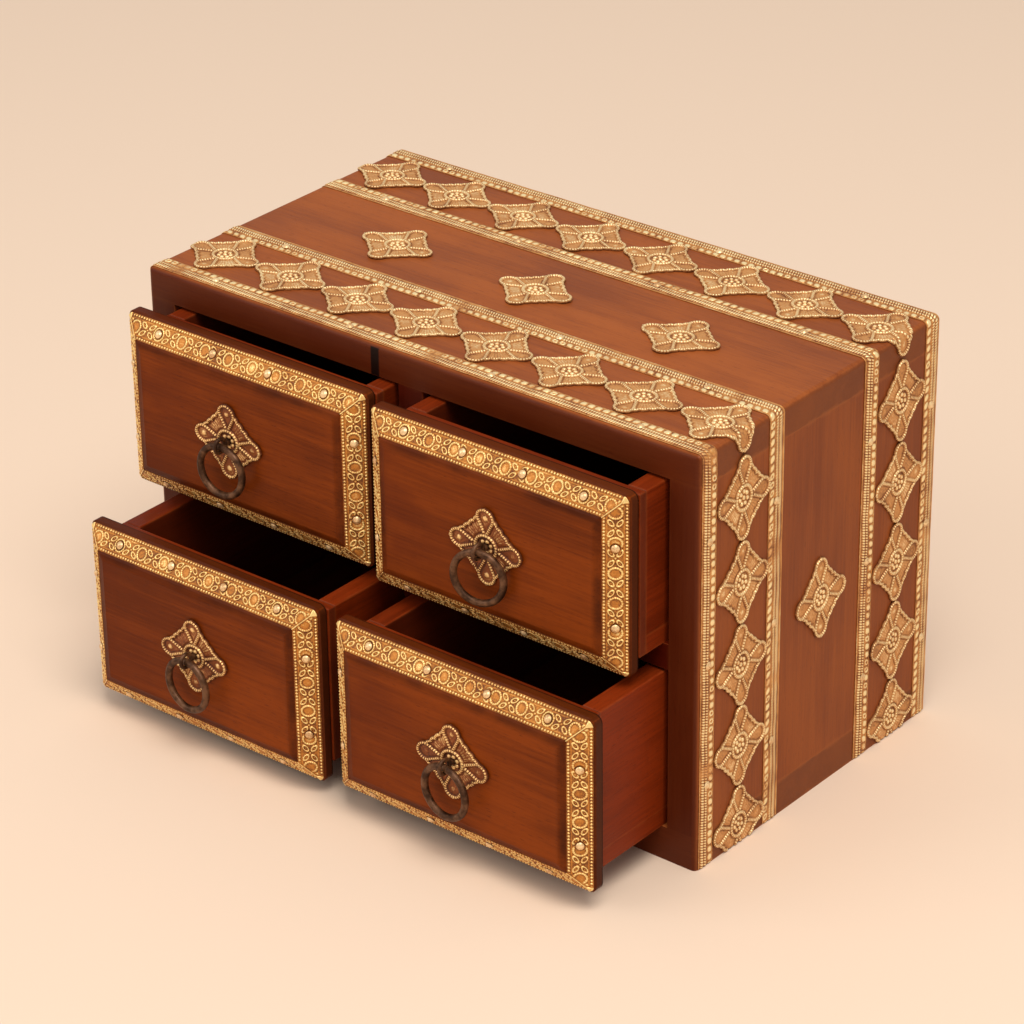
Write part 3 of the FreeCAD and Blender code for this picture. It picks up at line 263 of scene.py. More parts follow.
outer_tones = (stained(158, 84, 38), stained(126, 62, 28))        # pale and deep streaks
# The sides' tones are a little darker than the top's: painted shade, for the less light the sides
# get.
shaded_side_tones = (stained(148, 78, 36), stained(124, 60, 27))
inner_tones = (stained(108, 28, 6), stained(72, 16, 3))
case_boards = {
    # board: the axis of its grain, and its tones
    "top_board": ("x", outer_tones), "bottom_board": ("x", outer_tones),
    "left_side_board": ("z", shaded_side_tones), "right_side_board": ("z", shaded_side_tones),
    "back_panel": ("x", outer_tones), "shelf": ("x", inner_tones),
    "upper_divider": ("z", inner_tones), "lower_divider": ("z", inner_tones),
}
NOTCH_MIDDLE = (-0.0163, -0.0712, 0.157)                          # metres
for board, (along, tones) in case_boards.items():
    material, tree, shader, colour, spot = wood_material(board, along, *tones)
    # Faces turned to the front are darkened: painted shade for the less light the front gets, and
    # the grime of handling on the boards' front edges.
    forward = facing_node(tree, spot["Normal"], (0, -1, 0))
    front_shade_and_grime = product_node(
        tree, spread_node(tree, forward, 0.3, 0.9), 0.0 if board == "back_panel" else 0.8
    )
    colour = blend_node(tree, front_shade_and_grime, colour, stained(66, 11, 0))
    if board == "top_board":
        # A filled notch in the front edge, 4 mm wide and 11 mm high, where the upper divider
        # is let in.
        reach = split_node(tree, off_node(tree, spot["Object"], NOTCH_MIDDLE))
        notch = product_node(
            tree,
            spread_node(tree, reach[0], 0.0016, 0.0022, 1.0, 0.0),
            spread_node(tree, reach[1], 0.0015, 0.0019, 1.0, 0.0),
            spread_node(tree, reach[2], 0.0052, 0.0057, 1.0, 0.0),
        )
        colour = blend_node(tree, notch, colour, stained(24, 9, 5))
    wire(tree, shader, {"Base Color": colour})
    dress(board, material)


# -------------------------------------------------------------- drawer boxes
# Each drawer is a nailed box of thinner boards, painted darker inside than out as shade in the
# well; its front and back run left to right, and its sides and bottom front to back.

DRAWERS = ("upper_left", "upper_right", "lower_left", "lower_right")
box_grain = {"front": "x", "back": "x", "left": "y", "right": "y", "bottom": "y"}
box_tones = (stained(132, 46, 10), stained(96, 30, 6))
for drawer in DRAWERS:
    walls = {part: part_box(f"{drawer}_box_{part}") for part in box_grain}
    well_low = np.array([walls["left"][1].x, walls["front"][1].y, walls["bottom"][1].z])
    well_high = np.array([walls["right"][0].x, walls["back"][0].y, walls["left"][1].z + 0.01])
    well_middle, well_half = (well_high + well_low) / 2, (well_high - well_low) / 2
    for part, along in box_grain.items():
        board = f"{drawer}_box_{part}"
        material, tree, shader, colour, spot = wood_material(
            board, along, *box_tones, rubbed=0.2, rubbed_width=0.0012
        )
        # Painted shade inside the box: within the well's own block, its walls included.
        off = off_node(tree, spot["Object"], tuple(well_middle))
        room = split_node(tree, vector_node(tree, "SUBTRACT", tuple(well_half + 0.0002), off))
        least = math_node(tree, "MINIMUM", math_node(tree, "MINIMUM", room[0], room[1]), room[2])
        shaded_inside = math_node(tree, "GREATER_THAN", least, 0.0)
        colour = blend_node(tree, product_node(tree, shaded_inside, 0.5), colour, stained(60, 24, 12))
        wire(tree, shader, {"Base Color": colour})
        dress(board, material)


# -------------------------------------------------------------- drawer faces
# Each face is one board with its edges planed to a slope, leaving a raised field with a fine
# shoulder round it. It is waxed to a satin, and darkened along the shoulder by dirt and painted
# shade.

face_tones = (stained(134, 59, 12), stained(98, 39, 7))
for drawer in DRAWERS:
    board = drawer + "_face_board"
    material, tree, shader, colour, spot = wood_material(
        board, "x", *face_tones, rubbed=0.2, rubbed_width=0.0012
    )
    low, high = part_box(board)
    middle, half = (low + high) / 2, (high - low) / 2
    place = split_node(tree, spot["Object"])
    off = split_node(tree, off_node(tree, spot["Object"], (middle.x, 0.0, middle.z)))
    inset = math_node(
        tree, "MINIMUM",
        math_node(tree, "SUBTRACT", half.x, off[0]), math_node(tree, "SUBTRACT", half.z, off[2]),
    )
    # Dirt and painted shade in the groove along the trim's inner edge: strongest just inside the
    # trim, 9 mm in, fading by 13 mm, and patchy.
    patchy = noise_node(tree, spot["Object"], (60, 60, 60), 3.0)
    dirt_and_groove_shade = product_node(
        tree, spread_node(tree, inset, 0.0078, 0.0090),
        spread_node(tree, inset, 0.0096, 0.0128, 1.0, 0.0),
        spread_node(tree, patchy, 0.3, 0.65, 0.4, 1.0), 0.65,
    )
    # The thin rim outside the trim is dark with handling.
    rim = spread_node(tree, inset, 0.0005, 0.0011, 0.62, 0.0)
    # A dark glue line runs where the face meets the front of the box.
    seam = spread_node(tree, place[1], high.y - 0.0007, high.y - 0.0003, 0.0, 0.8)
    # Old finish has gone cloudy and darker towards the left of the field.
    leftward = spread_node(tree, place[0], middle.x - half.x, middle.x + half.x * 0.2, 1.0, 0.0)
    smoke = noise_node(tree, spot["Object"], (28, 28, 60), 3.0, 0.6)
    smoky = product_node(tree, leftward, spread_node(tree, smoke, 0.42, 0.62, 0.1, 0.55))
    for share, tone in (
        (dirt_and_groove_shade, stained(38, 13, 6)), (rim, stained(52, 20, 7)),
        (seam, stained(24, 8, 3)), (smoky, stained(92, 34, 10)),
    ):
        colour = blend_node(tree, share, colour, tone)
    wire(tree, shader, {"Base Color": colour})
    shader.inputs["Specular IOR Level"].default_value = 0.07
    dress(board, material)


# --------------------------------------------------------------- brass straps
# Four straps of thin brass, embossed with a row of round beads beside the rosettes and a
# double row of fine hatching, are wrapped over the top and down both sides and tacked on.
# Rubbing has flattened some beads; brown dirt lies in the low parts.

HALF_WIDTH, CASE_HEIGHT, ARRIS = 127.0, 163.5, 2.0     # mm, of the case that they wrap
STRAP_FOOT = 0.5                                       # mm, gap under the strap's ends
STRAP_STEP, STRAP_COLUMNS = 0.32, 27                   # mm between sections, points in each
BEAD_PITCH, HATCH_PITCH = 3.26, 1.1                    # mm
BEAD_LINE, FINE_LINE, WIDE_LINE = 1.65, 4.35, 6.15     # mm in from the edge with the beads
BEAD_LONG, BEAD_WIDE, FINE_HALF, WIDE_HALF = 1.38, 1.32, 0.72, 0.98     # mm, half sizes
MOST_BEADS = 400                                       # more than a strap has
SEAT = 0.02                                            # mm from the wood to a sheet's back


def round_the_case(along, out):
    """Place on the case's outline as (x, z) in mm. `along` is the distance walked from the
    middle of the top, right being positive: straight to the arris, a quarter circle round it,
    then straight down. `out` is the distance off the wood, square to it."""
    walked = np.abs(along)
    flat = HALF_WIDTH - ARRIS
    turned = np.clip((walked - flat) / ARRIS, 0, math.pi / 2)
    dropped = np.maximum(walked - flat - ARRIS * math.pi / 2, 0)
    across = np.minimum(walked, flat) + (ARRIS + out) * np.sin(turned)
    return np.sign(along) * across, CASE_HEIGHT - ARRIS + (ARRIS + out) * np.cos(turned) - dropped


def wander(along, length, seed):
    """A slow random wave from about -1 to 1: seven sines with random phases, whose wavelengths
    run from `length` down to a quarter of it."""
    dice = np.random.default_rng(seed)
    total = np.zeros_like(along, dtype=float)
    for part in np.linspace(1, 4, 7):
        total += np.sin(2 * math.pi * (along * part / length + dice.random())) / part
    return total / 1.6


def ridge(gap, half):
    """A rounded rib: a half circle in section, 1 on its line and 0 at `half` to each side."""
    return np.sqrt(np.clip(1 - (gap / half) ** 2, 0, 1))


def soft_step(value, low, high):
    """0 below low, 1 above high, and a smooth S between them."""
    share = np.clip((value - low) / (high - low), 0, 1)
    return share * share * (3 - 2 * share)


def shade_of(relief, reach):
    """How bright a rubbed sheet is, from its relief: the relief itself, plus how far each
    point stands above the mean of its neighbours up to `reach` cells away along both ways."""
    near = relief
    for axis in (0, 1):
        near = sum(np.roll(near, step, axis) for step in range(-reach, reach + 1)) / (2 * reach + 1)
    return relief + 0.9 * (relief - near)


def with_back(values):
    """Adds two columns of noughts, for the two back corners of each section of a strip."""
    return np.concatenate([values, np.zeros((len(values), 2))], axis=1)


def tube_faces(sections, corners, joined):
    """Quads between the neighbouring sections of a tube with that many corners, and its two
    end faces; a joined tube closes on its first section instead."""
    row, corner = np.meshgrid(
        np.arange(sections if joined else sections - 1), np.arange(corners), indexing="ij"
    )
    next_row, next_corner = (row + 1) % sections, (corner + 1) % corners
    quads = np.stack(
        [row * corners + corner, row * corners + next_corner,
         next_row * corners + next_corner, next_row * corners + corner], axis=-1
    ).reshape(-1, 4).tolist()
    if not joined:
        last = (sections - 1) * corners
        quads += [list(range(corners))[::-1], list(range(last, last + corners))]
    return quads


def make_piece(name, points, faces, shade, turns, cuts):
    """A mesh object at the origin from points in mm. Its signed volume, the sum over fans of
    triangles, tells whether the faces look inwards, and then they are all turned. Each point
    carries its shade, and its strand: turns of hatching walked, and how deep the hatching cuts."""
    solid = bpy.data.meshes.new(name)
    place = np.asarray(points, float).reshape(-1, 3) * 0.001
    solid.from_pydata(place.tolist(), [], faces)
    solid.calc_loop_triangles()
    fans = np.zeros(len(solid.loop_triangles) * 3, np.int32)
    solid.loop_triangles.foreach_get("vertices", fans)
    one, two, three = (place[fans.reshape(-1, 3)[:, k]] for k in range(3))
    if (one * np.cross(two, three)).sum() < 0:
        solid.flip_normals()
    solid.polygons.foreach_set("use_smooth", np.ones(len(solid.polygons), bool))
    layer = solid.attributes.new("shade", "FLOAT", "POINT")
    layer.data.foreach_set("value", np.clip(shade, 0, 1.25).astype(np.float32).ravel())
    strand = np.stack([turns.ravel(), cuts.ravel(), np.zeros(cuts.size)], axis=-1)
    layer = solid.attributes.new("strand", "FLOAT_VECTOR", "POINT")
    layer.data.foreach_set("vector", strand.astype(np.float32).ravel())
    solid.update()
    piece = bpy.data.objects.new(name, solid)
    bpy.context.scene.collection.objects.link(piece)
    return piece


# Old brass: fine hatching cuts dark notches into the shade, patches of tarnish move it up and
# down, and the colour climbs with it from brown dirt through dull gold to rubbed cream.
brass_tree, taken, given = new_group(
    "old_brass",
    {"Place": "vector", "Shade": "number", "Turns": "number", "Cut": "number",
     "Low": "colour", "Mid": "colour", "High": "colour"},
    {"Color": "colour", "Roughness": "number", "Metallic": "number", "Height": "number"},
)
tarnish = noise_node(brass_tree, taken["Place"], (110, 110, 110), 4.0, 0.65)
scratch = noise_node(brass_tree, taken["Place"], (1500, 1500, 1500), 2.0, 0.6)
# A notch is the cut times the square of half of 1 less the cosine of the turns.
strands = math_node(
    brass_tree, "COSINE", product_node(brass_tree, taken["Turns"], 2 * math.pi)
)
hollow = product_node(brass_tree, math_node(brass_tree, "SUBTRACT", 1.0, strands), 0.5)
notch = product_node(brass_tree, taken["Cut"], math_node(brass_tree, "POWER", hollow, 2.0))
shifted = weighted_node(
    brass_tree, (taken["Shade"], 1.0),
    (spread_node(brass_tree, tarnish, 0.3, 0.7, -0.20, 0.15), 1.0),
    (spread_node(brass_tree, scratch, 0.3, 0.7, -0.13, 0.13), 1.0),
    (notch, -1.25),
)
lower = blend_node(
    brass_tree, spread_node(brass_tree, shifted, -0.15, 0.45), taken["Low"], taken["Mid"]
)
to_high = spread_node(brass_tree, shifted, 0.40, 0.95)
wire(brass_tree, given, {
    "Color": blend_node(brass_tree, to_high, lower, taken["High"]),
    "Roughness": spread_node(brass_tree, shifted, 0.0, 0.9, 0.58, 0.36),
    "Metallic": spread_node(brass_tree, shifted, 0.0, 0.7, 0.2, 0.5),
    "Height": weighted_node(brass_tree, (scratch, 0.2), (taken["Shade"], 1.3), (notch, -1.0)),
})


def brass_material(name, low, mid, high, embossed=True):
    """Old brass in the three tones given; a plain piece has one shade and no hatching."""
    material, tree, shader = new_material(name)
    place = tree.nodes.new("ShaderNodeTexCoord").outputs["Object"]
    marks = {"Shade": 0.75, "Turns": 0.0, "Cut": 0.0}
    if embossed:
        shade, strand = (
            add_node(tree, "ShaderNodeAttribute", None, attribute_name=layer).outputs
            for layer in ("shade", "strand")
        )
        parts = split_node(tree, strand["Vector"])
        marks = {"Shade": shade["Fac"], "Turns": parts[0], "Cut": parts[1]}
    old = use_group(
        tree, brass_tree, {"Place": place, "Low": low, "Mid": mid, "High": high, **marks}
    )
    wire(tree, shader, {
        "Base Color": old["Color"], "Roughness": old["Roughness"], "Metallic": old["Metallic"],
        "Normal": bump_node(tree, old["Height"], 0.6, 0.0003),
    })
    return material


strap_brass = brass_material(
    "strap_brass", stained(116, 58, 24), stained(212, 148, 80), stained(255, 232, 176)
)
straps = (
    # node, whether the beads lie at its back edge, how far they slant for each mm across
    ("front_edge_strap", True, 0.12), ("front_inner_strap", False, 0.36),
    ("back_inner_strap", True, 0.24), ("back_edge_strap", False, 0.3),
)
walk_end = HALF_WIDTH - ARRIS + ARRIS * math.pi / 2 + CASE_HEIGHT - ARRIS - STRAP_FOOT
for number, (node, beads_at_back, slant) in enumerate(straps):
    low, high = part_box(node)
    near_y, far_y = low.y * 1000, high.y * 1000
    width = far_y - near_y
    along = np.linspace(-walk_end, walk_end, round(2 * walk_end / STRAP_STEP))[:, None]
    across = np.linspace(0, width, STRAP_COLUMNS)[None, :]
    along_all, across_all = np.broadcast_arrays(along, across)
    dice = np.random.default_rng(10 + number)
    # Beads: domes on squarish feet; about one in five is crushed to a hollow.
    which = np.round(along / BEAD_PITCH)
    mine = which.astype(int) % MOST_BEADS
    beside = across - BEAD_LINE
    near = along - which * BEAD_PITCH + slant * beside
    long_part, wide_part = np.abs(near / BEAD_LONG) ** 2.5, np.abs(beside / BEAD_WIDE) ** 2.5
    bead = np.sqrt(np.clip(1 - long_part - wide_part, 0, 1))
    crush_below = 0.2 + 0.25 * wander(along, 120, 30 + number)
    hollow = dice.random(MOST_BEADS)[mine] < crush_below
    bead = bead - np.where(hollow, 0.75 * ridge(np.hypot(near, beside), 0.72), 0)
    bead = bead * (0.72 + 0.28 * dice.random(MOST_BEADS)[mine])
    fine_row = ridge(across_all - FINE_LINE, FINE_HALF)
    wide_row = ridge(across_all - WIDE_LINE, WIDE_HALF)
    rib = 0.3 * ridge(across_all - 2 * BEAD_LINE, 0.25)
    lips = 0.35 * np.maximum(ridge(across_all, 0.35), ridge(across_all - width, 0.5))
    crushed = np.clip(wander(along, 61, 60 + number) - 0.8, 0, 0.6)
    relief = np.maximum.reduce([0.95 * bead, 0.85 * fine_row, 0.92 * wide_row, rib, lips])
    relief = np.maximum(relief, 0.16) * (1 - crushed)
    # In mm: low parts stand 0.1 off the wood, high parts 0.5 more, and the whole sheet waves.
    out = 0.10 + 0.50 * relief + 0.03 * (1 + wander(along, 40, 80 + number))
    # The rows stray a little from side to side, but the strap's edges stay straight.
    stray = 0.12 * wander(along, 37, 100 + number) * np.ones_like(across)
    span = across + stray * np.clip(np.minimum(across, width - across) * 4 - 0.2, 0, 1)
    y = far_y - span if beads_at_back else near_y + span
    x, z = round_the_case(along, np.minimum(out, 0.6))
    skin = np.stack([x, np.broadcast_to(y, x.shape), z], axis=-1)
    x, z = round_the_case(along, np.full_like(along, SEAT))
    back = np.stack(
        [np.repeat(x, 2, axis=1), y[:, [-1, 0]], np.repeat(z, 2, axis=1)], axis=-1
    )
    rub = 0.92 + 0.12 * wander(along, 90, 20 + number) + 0.06 * wander(along, 23, 40 + number)
    shade = (0.20 + shade_of(relief, 3)) * rub
    turns = along_all / HATCH_PITCH + 0.35 * across_all
    cuts = np.maximum(fine_row, wide_row) * (1 - crushed)
    points = np.concatenate([skin, back], axis=1)
    strap = make_piece(
        node + "_embossed", points, tube_faces(points.shape[0], points.shape[1], False),
        with_back(shade), with_back(turns), with_back(cuts),
    )
    strap.data.materials.append(strap_brass)
    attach(strap, "case")
    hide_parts(node)


# ------------------------------------------------------------ brass rosettes
# Stamped brass rosettes, four-sided: a teardrop petal to each corner and a finely rayed leaf
# between, edged in rope, round a roped ring filled with beads. They are tacked in rows between
# the straps, bent over the arrises, and single ones sit on the middle fields.

REACH = 16.2                    # mm from the middle to a petal's tip, before stretching
RAYS, RINGS = 248, 42           # grid of a rosette: round it, and from the middle out
PETAL_APEX, PETAL_BULB = 4.2, 12.1      # mm from the middle, where a petal's cone begins and ends
PETAL_END = 4.1                 # mm, radius of the round end of a petal, at the sheet's edge
ROPE_RING, HEART_RING = 4.6, 2.36       # mm, radii of the roped ring and of the heart's beads
PETAL_ROPE, EDGE_ROPE, RING_ROPE = 0.72, 0.70, 0.74     # mm, half the ropes' widths
ROPE_PITCH = 1.05               # mm from strand to strand
RING_TICKS, LEAF_RAYS = 26, 48  # in a whole turn


def rosette_outline(angle):
    """Distance to the edge in each direction: the round end of a petal, where the direction
    meets it, or else the straight side of a diamond, rippled into seven small scallops."""
    turn = np.abs((angle + math.pi / 4) % (math.pi / 2) - math.pi / 4)
    ahead = (REACH - PETAL_END) * np.cos(turn)
    aside = (REACH - PETAL_END) * np.sin(turn)
    petal = ahead + np.sqrt(np.clip(PETAL_END ** 2 - aside ** 2, 0, None))
    petal = np.where(aside < PETAL_END, petal, 0)
    share = np.tan(turn) / (1 + np.tan(turn))           # 0 at a tip, 0.5 half way along a side
    ripple = np.sqrt(np.abs(np.cos(7 * math.pi * share)))
    return np.maximum(petal, (15.6 + 0.95 * ripple) / (np.cos(turn) + np.sin(turn)))


def rosette_relief(u, v, inset, edge_walk, bead_heights):
    """Embossing of a rosette, where 1 is the top of a petal's rope, and its strands as turns
    and depth of cut. A petal's outline is a cone from near the middle up to a round bulb:
    `gap` is the distance outside it and `walk` the way along it. `inset` and `edge_walk` are
    the same for the sheet's edge, and `bead_heights` says how high the bead in each petal
    stands. The relief is the highest of the ropes, the beads and the floor; the strands are
    those of the rope or leaf that cuts deepest there."""
    radius, angle = np.hypot(u, v), np.arctan2(v, u)
    turn = (angle + math.pi / 4) % (math.pi / 2) - math.pi / 4
    ahead, aside = radius * np.cos(turn), np.abs(radius * np.sin(turn))
    round_end = 3.45
    lean = math.asin(round_end / (PETAL_BULB - PETAL_APEX))
    far = (ahead - PETAL_APEX) * math.cos(lean) + aside * math.sin(lean)
    tangent = (PETAL_BULB - PETAL_APEX) * math.cos(lean)
    on_cone = far < tangent
    gap = np.where(
        on_cone, aside * math.cos(lean) - (ahead - PETAL_APEX) * math.sin(lean),
        np.hypot(ahead - PETAL_BULB, aside) - round_end,
    )
    rounded = math.pi / 2 + lean - np.arctan2(aside, ahead - PETAL_BULB)
    walk = np.where(on_cone, far, tangent + round_end * rounded)
    petal_rope = ridge(gap, PETAL_ROPE) * soft_step(radius, 5.1, 5.6)
    edge_rope = ridge(inset - 0.72, EDGE_ROPE) * (gap > 0.35)
    ring_rope = ridge(radius - ROPE_RING, RING_ROPE)
    leaf = soft_step(np.minimum.reduce([gap - 0.6, inset - 1.3, radius - 5.2]), 0, 1.3)
    pad = soft_step(np.minimum(-gap - 0.6, radius - 5.4), 0, 1.2)
    height = bead_heights[np.round(angle / (math.pi / 2)).astype(int) % 4]
    bead = height * ridge(np.hypot(ahead - 11.9, aside), 1.35)
    # The heart: one bead in the middle and seven round it.
    heart = np.zeros_like(radius)
    for place in range(8):
        out, turned = (HEART_RING, place * 2 * math.pi / 7 + 0.4) if place else (0.0, 0.0)
        off_bead = np.hypot(u - out * math.cos(turned), v - out * math.sin(turned))
        heart = np.maximum(heart, 0.95 * ridge(off_bead, 0.96))
    heart = heart * (radius < 3.6)
    floor = 0.08 + 0.40 * leaf + 0.18 * pad
    relief = np.maximum.reduce([petal_rope, 1.05 * edge_rope, 1.15 * ring_rope, heart, bead, floor])
    ropes = np.stack([0.85 * petal_rope, 0.75 * edge_rope, 0.7 * ring_rope, 0.2 * leaf])
    ways = np.stack(np.broadcast_arrays(
        walk / ROPE_PITCH, edge_walk / ROPE_PITCH, angle * RING_TICKS / (2 * math.pi),
        angle * LEAF_RAYS / (2 * math.pi),
    ))
    chief = ropes.argmax(axis=0)[None]
    turns = np.take_along_axis(ways, chief, 0)[0]
    cuts = np.take_along_axis(ropes, chief, 0)[0]
    return relief, turns, cuts * (bead + heart < 0.2)


def rosette_sheet(put, reach_u, reach_v, seed, floor_cut=None, height=0.74, curl=0.0):
    """One rosette as a closed sheet. The grid runs in rays and rings out to the outline, is
    stretched to the two reaches, and `put` lays each (u, v, out) on the piece below. A floor
    cut, as a way along u and a distance, shortens the rays that would pass it. Curl lifts the
    petals of a pull by the square of the way out, most at the upper right, and the ring above
    has knocked its lower half flatter. The underside is a coarser copy of the grid."""
    dice = np.random.default_rng(seed)
    angle = -math.pi + np.arange(RAYS) * 2 * math.pi / RAYS
    edge = rosette_outline(angle) * (1 + 0.010 * np.sin(3 * angle + dice.random() * 6))
    full_edge = edge
    if floor_cut is not None:
        toward, distance = floor_cut
        slope = np.cos(angle) * toward * reach_u / REACH
        limit = np.where(slope > 1e-6, distance / np.maximum(slope, 1e-6), 1e9)
        edge = np.minimum(edge, limit)
    share = ((np.arange(RINGS) + 1) / RINGS)[:, None]
    radius = share * edge[None, :]
    u, v = radius * np.cos(angle), radius * np.sin(angle)
    steps = np.hypot(np.diff(full_edge * np.cos(angle)), np.diff(full_edge * np.sin(angle)))
    edge_walk = np.concatenate([[0], np.cumsum(steps)])
    bead_heights = np.where(dice.random(4) < 0.5, 0.30, 0.55) + (0.25 if curl else 0.0)
    # The outline leans on the rays, so its true inset is a little less than along the ray.
    inset = (full_edge - radius) * 0.95
    relief, turns, cuts = rosette_relief(u, v, inset, edge_walk, bead_heights)
    rub = 0.94 + 0.10 * dice.random() + 0.10 * np.sin(2 * angle + dice.random() * 6)
    bend = 0.5 + 0.5 * np.cos(angle - dice.random() * 6.3)
    lift = (0.05 if curl else 0.34) * (radius / REACH) ** 3 * (0.25 + 0.75 * bend)
    upper_right = np.clip(0.55 + 0.6 * np.cos(angle - math.radians(60)), 0, 1)
    lift += curl * np.clip(radius / REACH - 0.4, 0, 1) ** 2 * upper_right
    knocked = (0.3 if curl else 0.0) * np.clip(-np.sin(angle), 0, 1)
    out = 0.22 + height * (1 - knocked) * relief + lift
    u, v = u * reach_u / REACH, v * reach_v / REACH
    if floor_cut is None and not curl:
        twist = math.radians(dice.normal() * 1.3)
        u, v = u * math.cos(twist) - v * math.sin(twist), u * math.sin(twist) + v * math.cos(twist)

    # Points: the top's middle, its rings from the middle out, two rings under it, and the
    # underside's middle.
    nought = np.zeros(1)
    points = np.concatenate([
        put(nought, nought, nought + 0.22 + 0.1 * height), put(u, v, out).reshape(-1, 3),
        *(put(u[ring], v[ring], SEAT + lift[ring] * 0.8) for ring in (RINGS - 1, RINGS // 2)),
        put(nought, nought, nought + SEAT),
    ])
    under = np.zeros(2 * RAYS + 1)
    shade = np.concatenate([[0.2], ((0.1 + shade_of(relief, 1)) * rub).ravel(), under])
    turns, cuts = (np.concatenate([nought, values.ravel(), under]) for values in (turns, cuts))
    ray = np.arange(RAYS)
    turn = (ray + 1) % RAYS
    faces = np.stack([np.zeros(RAYS, int), 1 + ray, 1 + turn], axis=-1).tolist()
    for ring in range(RINGS + 1):
        inner, outer = 1 + ring * RAYS, 1 + (ring + 1) * RAYS
        faces += np.stack([inner + ray, outer + ray, outer + turn, inner + turn], axis=-1).tolist()
    last = 1 + (RINGS + 1) * RAYS
    faces += np.stack([last + turn, last + ray, np.full(RAYS, last + RAYS)], axis=-1).tolist()
    return points, faces, shade, turns, cuts


def join_sheets(name, sheets):
    """Several closed sheets as one piece, each keeping its own points."""
    points, cells, *marks = zip(*sheets)
    faces, count = [], 0
    for some, mine in zip(points, cells):
        faces += [[corner + count for corner in cell] for cell in mine]
        count += len(some)
    return make_piece(name, np.concatenate(points), faces, *map(np.concatenate, marks))


def lay_on_case(along, y):
    """A way of putting down a rosette whose middle is at that walk and that y: u is added to
    the walk, v to y, and out is square to the wood."""
    def put(u, v, out):
        x, z = round_the_case(along + u, out)
        return np.stack([x, y + v, z], axis=-1)
    return put


rosette_brass = brass_material(
    "rosette_brass", stained(118, 64, 28), stained(208, 147, 84), stained(255, 228, 172)
)
CORNER_WALK = HALF_WIDTH - ARRIS + ARRIS * math.pi / 2      # mm walked to the top of a side
PITCH = 32.6                                                # mm between rosettes in a row
TOP_FIRST = -110.9                                          # mm, x of a top row's first
SIDE_FIRST = ((1, "right", 138.54), (-1, "left", 144.94))   # mm, z of a side row's first
for band, node in enumerate(("front_band_rosettes", "back_band_rosettes")):
    low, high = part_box(node)
    y, reach_v = (low.y + high.y) * 500, (high.y - low.y) * 500
    rows = {"top": [(TOP_FIRST + PITCH * place, None) for place in range(8)]}
    for side, name, first in SIDE_FIRST:
        rows[name] = []
        for place in range(5):
            z = first - PITCH * place
            walk = side * (CORNER_WALK + CASE_HEIGHT - ARRIS - z)
            cut = (side, z - STRAP_FOOT) if z - STRAP_FOOT < REACH else None
            rows[name].append((walk, cut))
    for name, places in rows.items():
        sheets = [
            rosette_sheet(lay_on_case(walk, y), REACH, reach_v, 200 + 40 * band + place, cut)
            for place, (walk, cut) in enumerate(places)
        ]
        row = join_sheets(f"{node}_{name}", sheets)
        row.data.materials.append(rosette_brass)
        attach(row, "case")
        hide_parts(node)

side_walk = CORNER_WALK + CASE_HEIGHT - ARRIS - 79.15       # to half way down a side
singles = [lay_on_case(x, -1.0) for x in (-66.0, 0.0, 66.0)]
singles += [lay_on_case(side * side_walk, 0.75) for side in (-1, 1)]
field = join_sheets(
    "field_rosettes_embossed",
    [rosette_sheet(put, REACH, 15.0, 300 + count) for count, put in enumerate(singles)],
)
field.data.materials.append(rosette_brass)
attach(field, "case")
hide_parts("field_rosettes")

# Tacks with domed heads hold the straps and trims.
tack_brass = brass_material(
    "tack_brass", stained(120, 72, 36), stained(198, 146, 94), stained(250, 218, 166), False
)
dress("strap_nails", tack_brass)


# --------------------------------------------------------- drawer face trims
# A narrow embossed brass strip is bent round the sloping edge of each face and mitred at the
# corners: rings alternate with crosses of four leaves between two rows of small beads.

TRIM_IN, TRIM_OUT = 8.4, 0.8                # mm from the face's edge to the strip's two edges
BEVEL_WIDTH, BEVEL_RISE = 9.2, 6.4          # mm, of the slope it lies on
FACE_RIM, FACE_CORNER = 3.5, 3.0            # mm, the face's thickness at its edge, corner radius
TRIM_ROWS, TRIM_STEP = 37, 0.26             # points across the strip, mm between sections
SLOPE = math.hypot(BEVEL_WIDTH, BEVEL_RISE)
RING_PITCH, TACK_PITCH = 11.6, 27           # mm, before they are fitted to the side's length
PEARL_PITCH, PEARL = 1.27, 0.56             # mm, pitch and half width of the small beads
RING_NICKS = 16                             # in a ring of a trim


